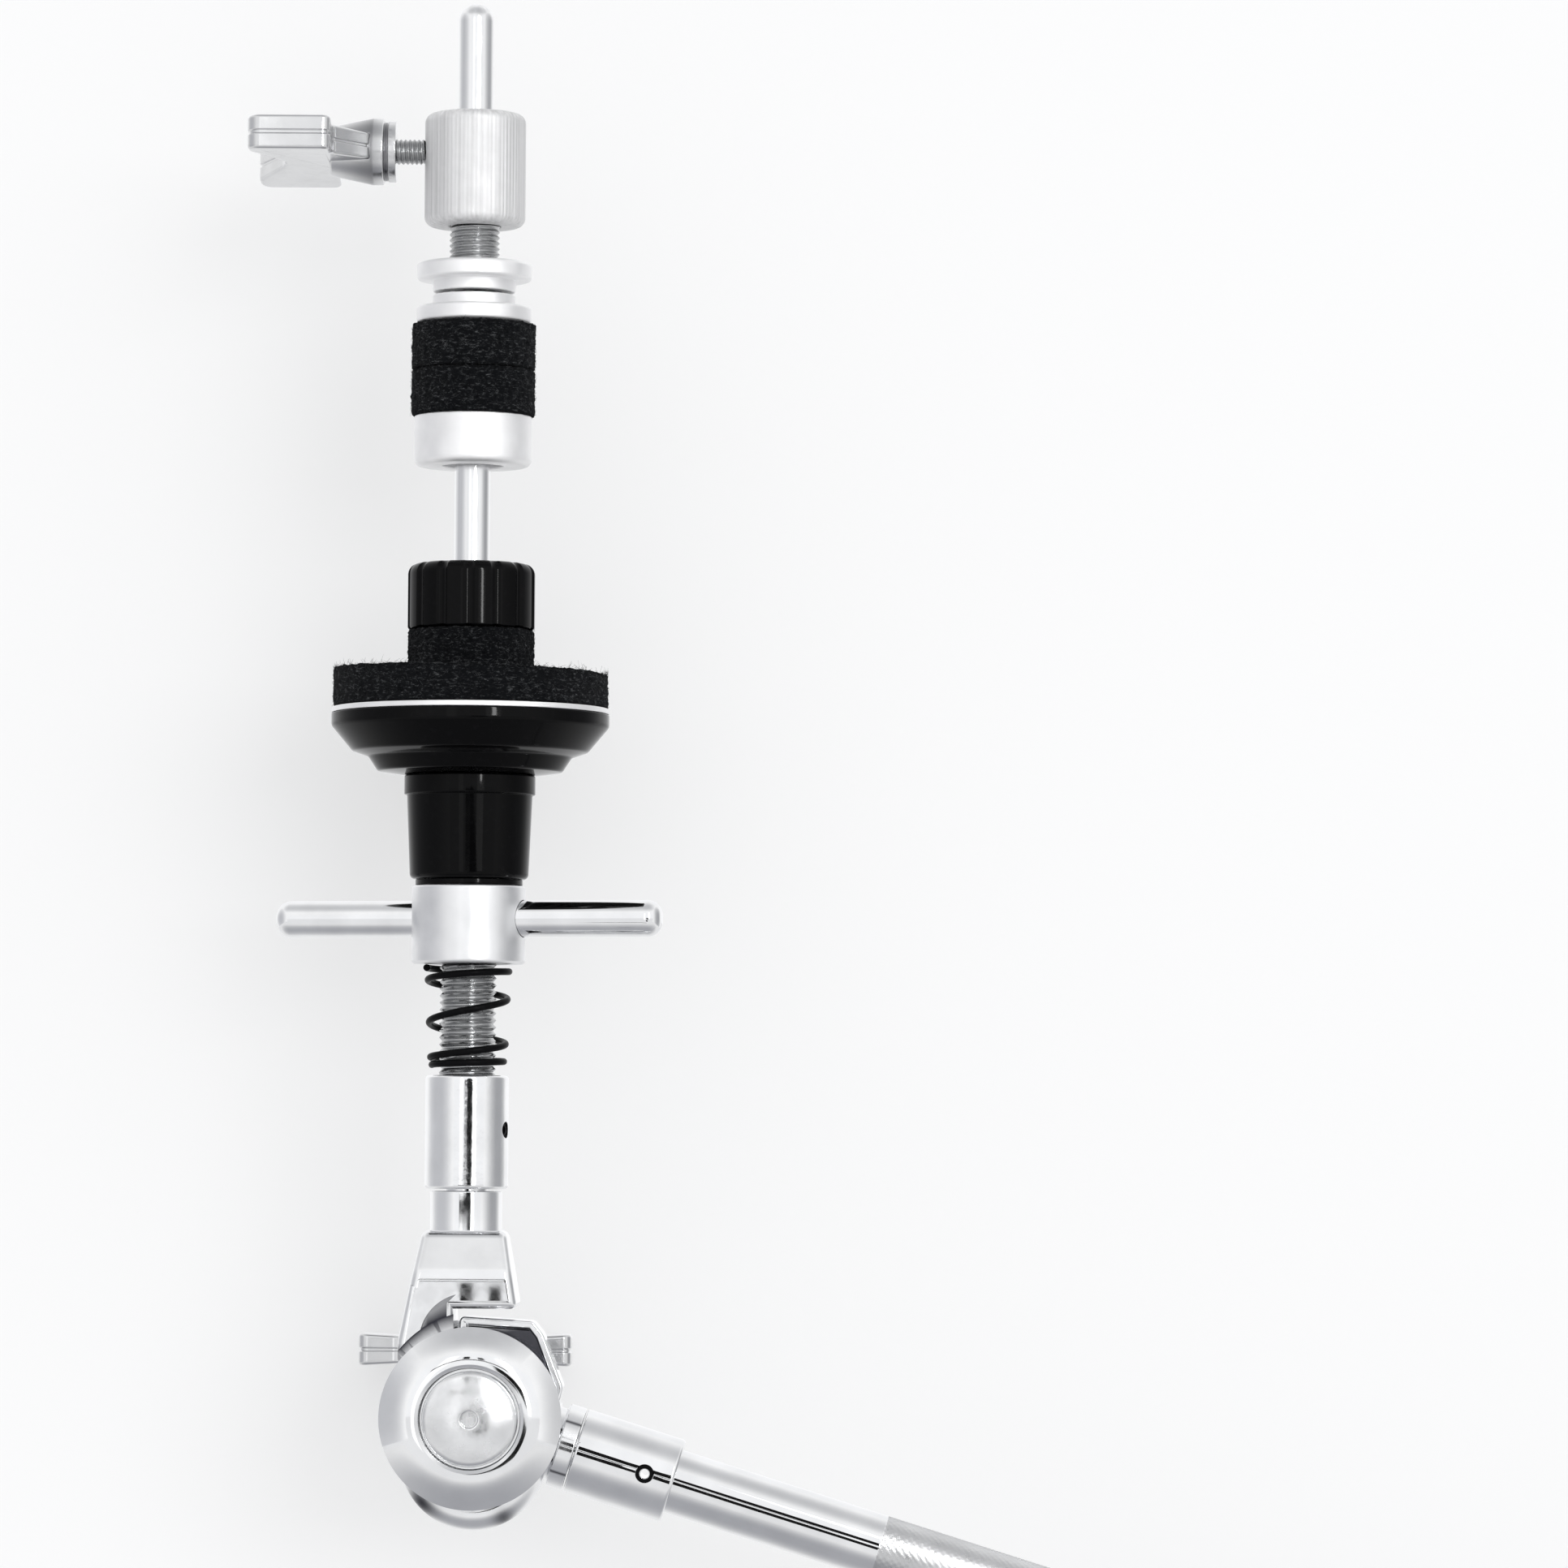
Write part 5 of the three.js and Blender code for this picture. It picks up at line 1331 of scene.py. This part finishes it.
def felt(name, node, body, bore, seed, count, side_share=0.8, slump=0.0):
    """A felt washer with an uneven face, a matted edge and loose fibres.

    The face moves along its normal by a sum of waves round and across it plus a fine scatter, fading
    out towards the bore. Then all of it sinks by the slump, times its share of the height, more to one side.
    """
    size = sizes()
    rng = np.random.default_rng(seed)
    pad = extent(node, ROD)
    waves = [
        (rng.integers(2, 60), rng.uniform(-4000, 4000), rng.uniform(-3000, 3000), rng.uniform(0, FULL_TURN))
        for _ in range(26)
    ]

    def matted(angle, radius, height):
        swell = sum(
            np.sin(turns * angle + across * radius + up * height + phase)
            for turns, across, up, phase in waves
        ) / math.sqrt(len(waves))
        scatter = rng.normal(0, 0.35, radius.shape)
        flat = (height < pad.start + 0.1 * MM) | (height > pad.end - 0.1 * MM)
        room = np.where(flat & (radius < 0.93 * pad.radius), 0.12, 1)
        return size.nap * room * (0.45 * swell + scatter - 0.5) * (radius > bore + 0.4 * MM)

    edge = 0.4 * MM
    step = 0.3 * MM
    shell = ring(
        bore, pad.radius, pad.start, pad.end, sides=int(FULL_TURN * pad.radius / step),
        edges=(0, edge, edge, 0), relief=matted, step=step, inside=0.75 * pad.radius,
    )
    angle = rng.uniform(0, FULL_TURN, count)
    on_side = rng.random(count) < side_share
    radius = np.where(on_side, pad.radius - 0.08 * MM, pad.radius - edge * 1.2 * rng.random(count))
    height = np.where(on_side, rng.uniform(pad.start + edge, pad.end - edge, count), pad.end - 0.1 * MM)
    across = np.where(on_side, 1, 0.5)
    outward = np.stack([np.cos(angle) * across, np.sin(angle) * across, 1 - across], axis=1)
    outward /= np.linalg.norm(outward, axis=1, keepdims=True)
    along = np.stack([-np.sin(angle), np.cos(angle), 0 * angle], axis=1)
    anchors = np.stack([radius * np.cos(angle), radius * np.sin(angle), height], axis=1)
    strands = fibres(rng, settled(anchors, ROD), outward, along, size.fibre_length, size.fibre_width / 2)
    whole = fused(shell, strands)
    share = np.clip((whole.points[:, 2] - pad.start) / (pad.end - pad.start), 0, 1)
    whole.points[:, 2] -= slump * share * (0.5 + 0.5 * (whole.points[:, 0] - ROD.origin[0]) / pad.radius)
    item = solid(name, whole, math.radians(180))
    fit(item, "wool_felt wool_fibre", "felt", body, node)
    second_look(item, np.arange(len(item.data.polygons)) >= len(shell.counts))
    return item


class HIHAT_OT_felts(bpy.types.Operator):
    """The four felts: large and small on the seat, and two on the clutch"""

    bl_idname = "hihat.felts"
    bl_label = "Felts"

    def execute(self, context):
        tube = extent("clutch_tube", ROD).radius + 0.15 * MM
        seat_tube = 4.85 * MM
        felt("large_felt", "seat_large_felt", "seat", seat_tube, 11, 2600, 0.62, 0.9 * MM)
        felt("small_felt", "seat_small_felt", "knob_insert", seat_tube, 12, 1000, 1)
        felt("lower_felt_pad", "clutch_lower_felt", "lower_felt", tube, 13, 1300, 1)
        felt("upper_felt_pad", "clutch_upper_felt", "clutch", tube, 14, 1300, 1)
        return {"FINISHED"}


# ------------------------------------------------------------------ clutch

class HIHAT_OT_clutch(bpy.types.Operator):
    """Clutch body with its fine lines, threaded tube, two lock nuts and the bottom nut"""

    bl_idname = "hihat.clutch"
    bl_label = "Clutch"

    def execute(self, context):
        size = sizes()
        body, tube, nut, rod = (
            extent(n, ROD) for n in ("clutch_body", "clutch_tube", "clutch_bottom_nut", "pull_rod")
        )
        rod_bore = rod.radius + size.play
        tube_bore = tube.radius + size.play
        edge = 1.7 * MM

        def lines(angle, radius, height):
            """Shallow lines up the wall, of uneven depth: the product of two cosines of the angle."""
            wave = 0.5 - 0.5 * np.cos(size.line_count * angle)
            uneven = 0.65 + 0.35 * np.cos(11 * angle + 3 * np.sin(5 * angle))
            return -size.line_depth * wave * uneven * (radius > body.radius - 0.5 * MM)

        shell = turned(
            [
                (tube_bore, body.start, size.edge), (body.radius, body.start, edge),
                (body.radius, body.end, edge), (rod_bore, body.end, size.edge),
                (rod_bore, tube.end + size.play, 0), (tube_bore, tube.end + size.play, 0),
            ],
            sides=6 * size.line_count, relief=lines,
        )
        screw = extent("clutch_screw", CLUTCH_SCREW)
        cutter = bar(screw.radius + size.play, 0, 2 * body.radius, CLUTCH_SCREW, 48)
        item = carved(solid("clutch_barrel", shell), ("DIFFERENCE", cutter))
        fit(item, "lined_aluminium", "aluminium", "clutch", "clutch_body")

        low, high = tube.start + size.edge, body.start + 1 * MM
        thread = ridges(size.tube_pitch, size.tube_depth, low, high, tube.radius)
        shell = ring(
            rod_bore, tube.radius, tube.start, tube.end, sides=72, edges=(0, size.edge, size.edge, 0),
            relief=thread, step=size.tube_pitch / 10, inside=rod_bore + size.play,
        )
        fit(solid("clutch_sleeve", shell), "bright_steel", "aluminium", "clutch", "clutch_tube")

        for name, upward in (("upper", 1), ("lower", -1)):
            lock = extent(f"clutch_{name}_lock_nut", ROD)
            hub, flange = 7.45 * MM, 3.1 * MM
            if upward > 0:
                step = lock.end - flange
                corners = [
                    (tube_bore, lock.start, size.edge), (hub, lock.start, size.edge), (hub, step, 0.2 * MM),
                    (lock.radius, step, 0.6 * MM), (lock.radius, lock.end, 0.8 * MM),
                    (tube_bore, lock.end, size.edge),
                ]
            else:
                step = lock.start + flange
                corners = [
                    (tube_bore, lock.start, size.edge), (lock.radius, lock.start, 0.8 * MM),
                    (lock.radius, step, 0.6 * MM), (hub, step, 0.2 * MM), (hub, lock.end, size.edge),
                    (tube_bore, lock.end, size.edge),
                ]
            item = solid(f"{name}_lock", turned(corners, sides=128))
            fit(item, "turned_aluminium", "aluminium", f"{name}_lock_nut", f"clutch_{name}_lock_nut")

        recess, ceiling = tube_bore + 0.9 * MM, nut.start + 2.6 * MM
        shell = turned(
            [
                (recess, nut.start, size.edge), (nut.radius, nut.start, 1.3 * MM),
                (nut.radius, nut.end, size.edge), (tube_bore, nut.end, size.edge),
                (tube_bore, ceiling, 0), (recess, ceiling, 0),
            ],
            sides=144,
        )
        item = solid("bottom_nut_body", shell)
        fit(item, "turned_aluminium", "aluminium", "bottom_nut", "clutch_bottom_nut")
        return {"FINISHED"}


# ------------------------------------------------------------------ stage

def sheet(name, centre, across, up):
    """A flat rectangle from its centre and two half sides."""
    centre, across, up = (np.array(v, float) for v in (centre, across, up))
    corners = [centre - across - up, centre + across - up, centre + across + up, centre - across + up]
    mesh = bpy.data.meshes.new(name)
    mesh.from_pydata([tuple(corner) for corner in corners], [], [(0, 1, 2, 3)])
    item = bpy.data.objects.new(name, mesh)
    bpy.context.scene.collection.objects.link(item)
    return item


def card(name, centre, across, up, tone, surround=None):
    """A flat studio card, seen only in reflections: dark to shade, or bright to light.

    With a surround its tone fades into that one from halfway out to its rim.
    """
    item = sheet(name, centre, across, up)
    material = bpy.data.materials.new(name)
    material.use_nodes = True
    tree = material.node_tree
    tree.nodes.clear()
    light = tree.nodes.new("ShaderNodeEmission")
    light.inputs["Color"].default_value = (*(channel / max(tone) for channel in tone), 1)
    light.inputs["Strength"].default_value = max(tone)
    out = tree.nodes.new("ShaderNodeOutputMaterial")
    tree.links.new(light.outputs[0], out.inputs["Surface"])
    if surround:
        half = np.abs(np.array(across, float) + np.array(up, float))
        scale = np.divide(1, half, out=np.zeros(3), where=half > 0)
        mapping = tree.nodes.new("ShaderNodeMapping")
        mapping.inputs["Scale"].default_value = scale
        mapping.inputs["Location"].default_value = -np.array(centre) * scale
        tree.links.new(tree.nodes.new("ShaderNodeTexCoord").outputs["Object"], mapping.inputs["Vector"])
        far = tree.nodes.new("ShaderNodeVectorMath")
        far.operation = "LENGTH"
        tree.links.new(mapping.outputs[0], far.inputs[0])
        fade = tree.nodes.new("ShaderNodeMapRange")
        fade.interpolation_type = "SMOOTHSTEP"
        fade.inputs["From Min"].default_value = 0.1
        tree.links.new(far.outputs["Value"], fade.inputs["Value"])
        mix = tree.nodes.new("ShaderNodeMix")
        mix.data_type = "RGBA"
        mix.inputs[6].default_value = (*tone, 1)
        mix.inputs[7].default_value = (surround, surround, surround, 1)
        light.inputs["Strength"].default_value = 1
        tree.links.new(fade.outputs["Result"], mix.inputs[0])
        tree.links.new(mix.outputs[2], light.inputs["Color"])
    item.data.materials.append(material)
    item.visible_camera = item.visible_shadow = item.visible_diffuse = False
    return item


def panel(name, centre, across, up, tone, albedo, glow, one_sided=False):
    """A matt studio surface with a faint glow of its own, which can be clear from behind."""
    item = sheet(name, centre, across, up)
    recipe = Recipe(name, dimmed(tone, albedo / max(tone)), Roughness=1, Specular_IOR_Level=0)
    recipe.shader.inputs["Emission Color"].default_value = (1, 1, 1, 1)
    recipe.shader.inputs["Emission Strength"].default_value = glow
    shade = dimmed(tone, albedo / max(tone))
    recipe.tint(recipe.spread(recipe.noise(3, 3), 0, 1), dimmed(shade, 0.99), shade)
    if one_sided:
        tree = recipe.tree
        side = tree.nodes.new("ShaderNodeNewGeometry")
        mix = tree.nodes.new("ShaderNodeMixShader")
        clear = tree.nodes.new("ShaderNodeBsdfTransparent")
        recipe.link(side.outputs["Backfacing"], mix.inputs["Fac"])
        recipe.link(recipe.shader.outputs[0], mix.inputs[1])
        recipe.link(clear.outputs[0], mix.inputs[2])
        recipe.link(mix.outputs[0], tree.nodes["Material Output"].inputs["Surface"])
    item.data.materials.append(recipe.material)
    return item


class HIHAT_OT_stage(bpy.types.Operator):
    """Pale floor, soft studio light, reflection cards and the camera"""

    bl_idname = "hihat.stage"
    bl_label = "Stage"

    def execute(self, context):
        scene = context.scene
        pale = tuple(colours().stage)
        aim = np.array([ROD.origin[0] + AIM_FROM_PIVOT[0], 0, PIVOT.origin[2] + AIM_FROM_PIVOT[1]])
        eye = aim + np.array(EYE_FROM_AIM)

        camera = bpy.data.objects.new("camera", bpy.data.cameras.new("camera"))
        scene.collection.objects.link(camera)
        camera.data.sensor_width = 36
        camera.data.lens = 18 / math.tan(VIEW_ANGLE / 2)
        camera.data.clip_start, camera.data.clip_end = 0.05, 60
        camera.location = eye
        level = Vector(aim - eye).to_track_quat("-Z", "Y").to_matrix().to_4x4()
        roll = Matrix.Rotation(VIEW_ROLL, 4, "Z")
        camera.matrix_world = Matrix.Translation(Vector(eye)) @ level @ roll
        scene.camera = camera

        floor_height = FRAME_BOX[0][2] - FLOOR_BELOW
        panel("floor", (0, 0, floor_height), (18, 0, 0), (0, 18, 0), pale, 0.75, 0.08)
        wall = panel("backdrop", (0, WALL_BEHIND, 0), (4, 0, 0), (0, 0, 4), pale, 0.55, 0.365, one_sided=True)
        wall.visible_diffuse = wall.visible_glossy = wall.visible_shadow = wall.visible_transmission = False

        world = bpy.data.worlds.new("studio")
        world.use_nodes = True
        tree = world.node_tree
        seen, lit = tree.nodes["Background"], tree.nodes.new("ShaderNodeBackground")
        seen.inputs["Color"].default_value = (*pale, 1)
        lit.inputs["Color"].default_value = (0.985, 0.99, 1, 1)
        lit.inputs["Strength"].default_value = SKY
        path = tree.nodes.new("ShaderNodeLightPath")
        mix = tree.nodes.new("ShaderNodeMixShader")
        tree.links.new(path.outputs["Is Camera Ray"], mix.inputs["Fac"])
        tree.links.new(lit.outputs[0], mix.inputs[1])
        tree.links.new(seen.outputs[0], mix.inputs[2])
        tree.links.new(mix.outputs[0], tree.nodes["World Output"].inputs["Surface"])
        scene.world = world
        scene.view_settings.view_transform = "Standard"

        lamp = bpy.data.lights.new("soft_light", "SUN")
        lamp.energy, lamp.angle = SUN_STRENGTH, SUN_WIDTH
        item = bpy.data.objects.new("soft_light", lamp)
        scene.collection.objects.link(item)
        item.rotation_mode = "QUATERNION"
        item.rotation_quaternion = Vector((-0.6, 1, -0.2)).to_track_quat("-Z", "Y")
        item.visible_glossy = False

        middle_x = ROD.origin[0]
        coupler = extent("coupler", ROD)
        right, up = (1, 0, 0), (0, 0, 1)

        def facing(name, low, high, half_width, tone, centre_x, reach):
            """A card that upright pieces reflect between two heights, at a share of the eye's distance."""
            low, high = (z + (z - eye[2]) * reach for z in (low, high))
            x = centre_x + (centre_x - eye[0]) * reach
            card(name, (x, eye[1] * reach, (low + high) / 2), half_width * np.array(right),
                 (high - low) / 2 * np.array(up), (tone,) * 3)

        joint, foot = coupler.start, PIVOT.origin[2] + 20 * MM
        for name, low, high, half_width, tone, right_by, reach in (
            ("coupler_shade", joint + 0.5 * MM, coupler.end - 0.5 * MM, 0.12, 0.02, 28.9 * MM, 1.05),
            ("neck_shade", joint - 5.4 * MM, joint - 1.6 * MM, 0.032, 0.02, 2 * MM, 0.075),
            ("first_blot", foot, foot + 4.2 * MM, 0.0012, 0.01, 1 * MM, 0.03),
            ("second_blot", foot, foot + 3.6 * MM, 0.0011, 0.01, 6.1 * MM, 0.03),
        ):
            facing(name, low, high, half_width, tone, middle_x + right_by, reach)

        for name, centre, across, up, tone, surround in (
            ("left_panel", (-1.1, -0.1, 0.15), (0, 1.5, 0), (0, 0, 1.5), (0.6, 0.605, 0.63), SKY),
            ("right_panel", (1.1, 0.2, 0.15), (0, 1.1, 0), (0, 0, 1.5), (0.42, 0.425, 0.44), SKY),
            ("top_panel", (0, -0.3, 1.25), (1.6, 0, 0), (0, 1.1, 0), (0.6, 0.605, 0.62), SKY),
            ("low_panel", (0, -0.1, floor_height + 0.02), (0.9, 0, 0), (0, 0.6, 0), (0.42, 0.425, 0.45), 0.9),
            ("window", (0.48, -1.2, 0.57), (0.035, 0.015, 0), (0, 0, 0.38), (30,) * 3, None),
            ("window_edge", (0.47, -1.22, 0.5), (0.13, 0.05, 0), (0, 0, 0.45), (2,) * 3, None),
            ("left_window", (-0.3, -1.3, 0.4), (0.09, -0.02, 0), (0, 0, 0.5), (1.5,) * 3, None),
        ):
            card(name, (middle_x + centre[0], *centre[1:]), across, up, tone, surround)

        along = ARM.turn[:, 2]
        middle_of_lines = ARM.origin + 58 * MM * along
        toward = eye - (ARM.origin + 45 * MM * along)
        toward /= np.linalg.norm(toward)
        above = np.cross(along, toward)
        above *= math.copysign(1, above[2])
        for name, lift in (("first_line", 1), ("second_line", -1)):
            centre = middle_of_lines + 0.45 * toward + 0.058 * lift * above
            card(name, centre, 0.056 * along, 0.036 * above, (0.01,) * 3)
        return {"FINISHED"}


# ------------------------------------------------------------------ add-on

PIECES = (
    HIHAT_OT_rod_and_stem,
    HIHAT_OT_boom_arm,
    HIHAT_OT_lower_casting,
    HIHAT_OT_upper_casting,
    HIHAT_OT_pivot,
    HIHAT_OT_wing_screws,
    HIHAT_OT_tension_spring,
    HIHAT_OT_tension_nut,
    HIHAT_OT_seat,
    HIHAT_OT_knob,
    HIHAT_OT_felts,
    HIHAT_OT_clutch,
    HIHAT_OT_stage,
)


class HIHAT_PT_panel(bpy.types.Panel):
    """The arm's pieces, sizes and colours"""

    bl_label = "Hi-Hat Arm"
    bl_idname = "HIHAT_PT_panel"
    bl_space_type = "VIEW_3D"
    bl_region_type = "UI"
    bl_category = "Hi-Hat Arm"

    def draw(self, context):
        for piece in PIECES:
            self.layout.operator(piece.bl_idname)
        for group in (sizes(), colours()):
            box = self.layout.box()
            for name in group.__annotations__:
                box.prop(group, name)


CLASSES = (HiHatArmSizes, HiHatArmColours, *PIECES, HIHAT_PT_panel)


def register():
    """Registers the classes and hangs the sizes and colours on the scene."""
    for item in CLASSES:
        bpy.utils.register_class(item)
    bpy.types.Scene.hihat_arm_sizes = bpy.props.PointerProperty(type=HiHatArmSizes)
    bpy.types.Scene.hihat_arm_colours = bpy.props.PointerProperty(type=HiHatArmColours)


def unregister():
    """Takes all of it away again."""
    del bpy.types.Scene.hihat_arm_colours
    del bpy.types.Scene.hihat_arm_sizes
    for item in reversed(CLASSES):
        bpy.utils.unregister_class(item)


def main():
    """Makes every piece and the stage."""
    register()
    for piece in PIECES:
        group, name = piece.bl_idname.split(".")
        getattr(getattr(bpy.ops, group), name)()


if __name__ == "__main__":
    main()
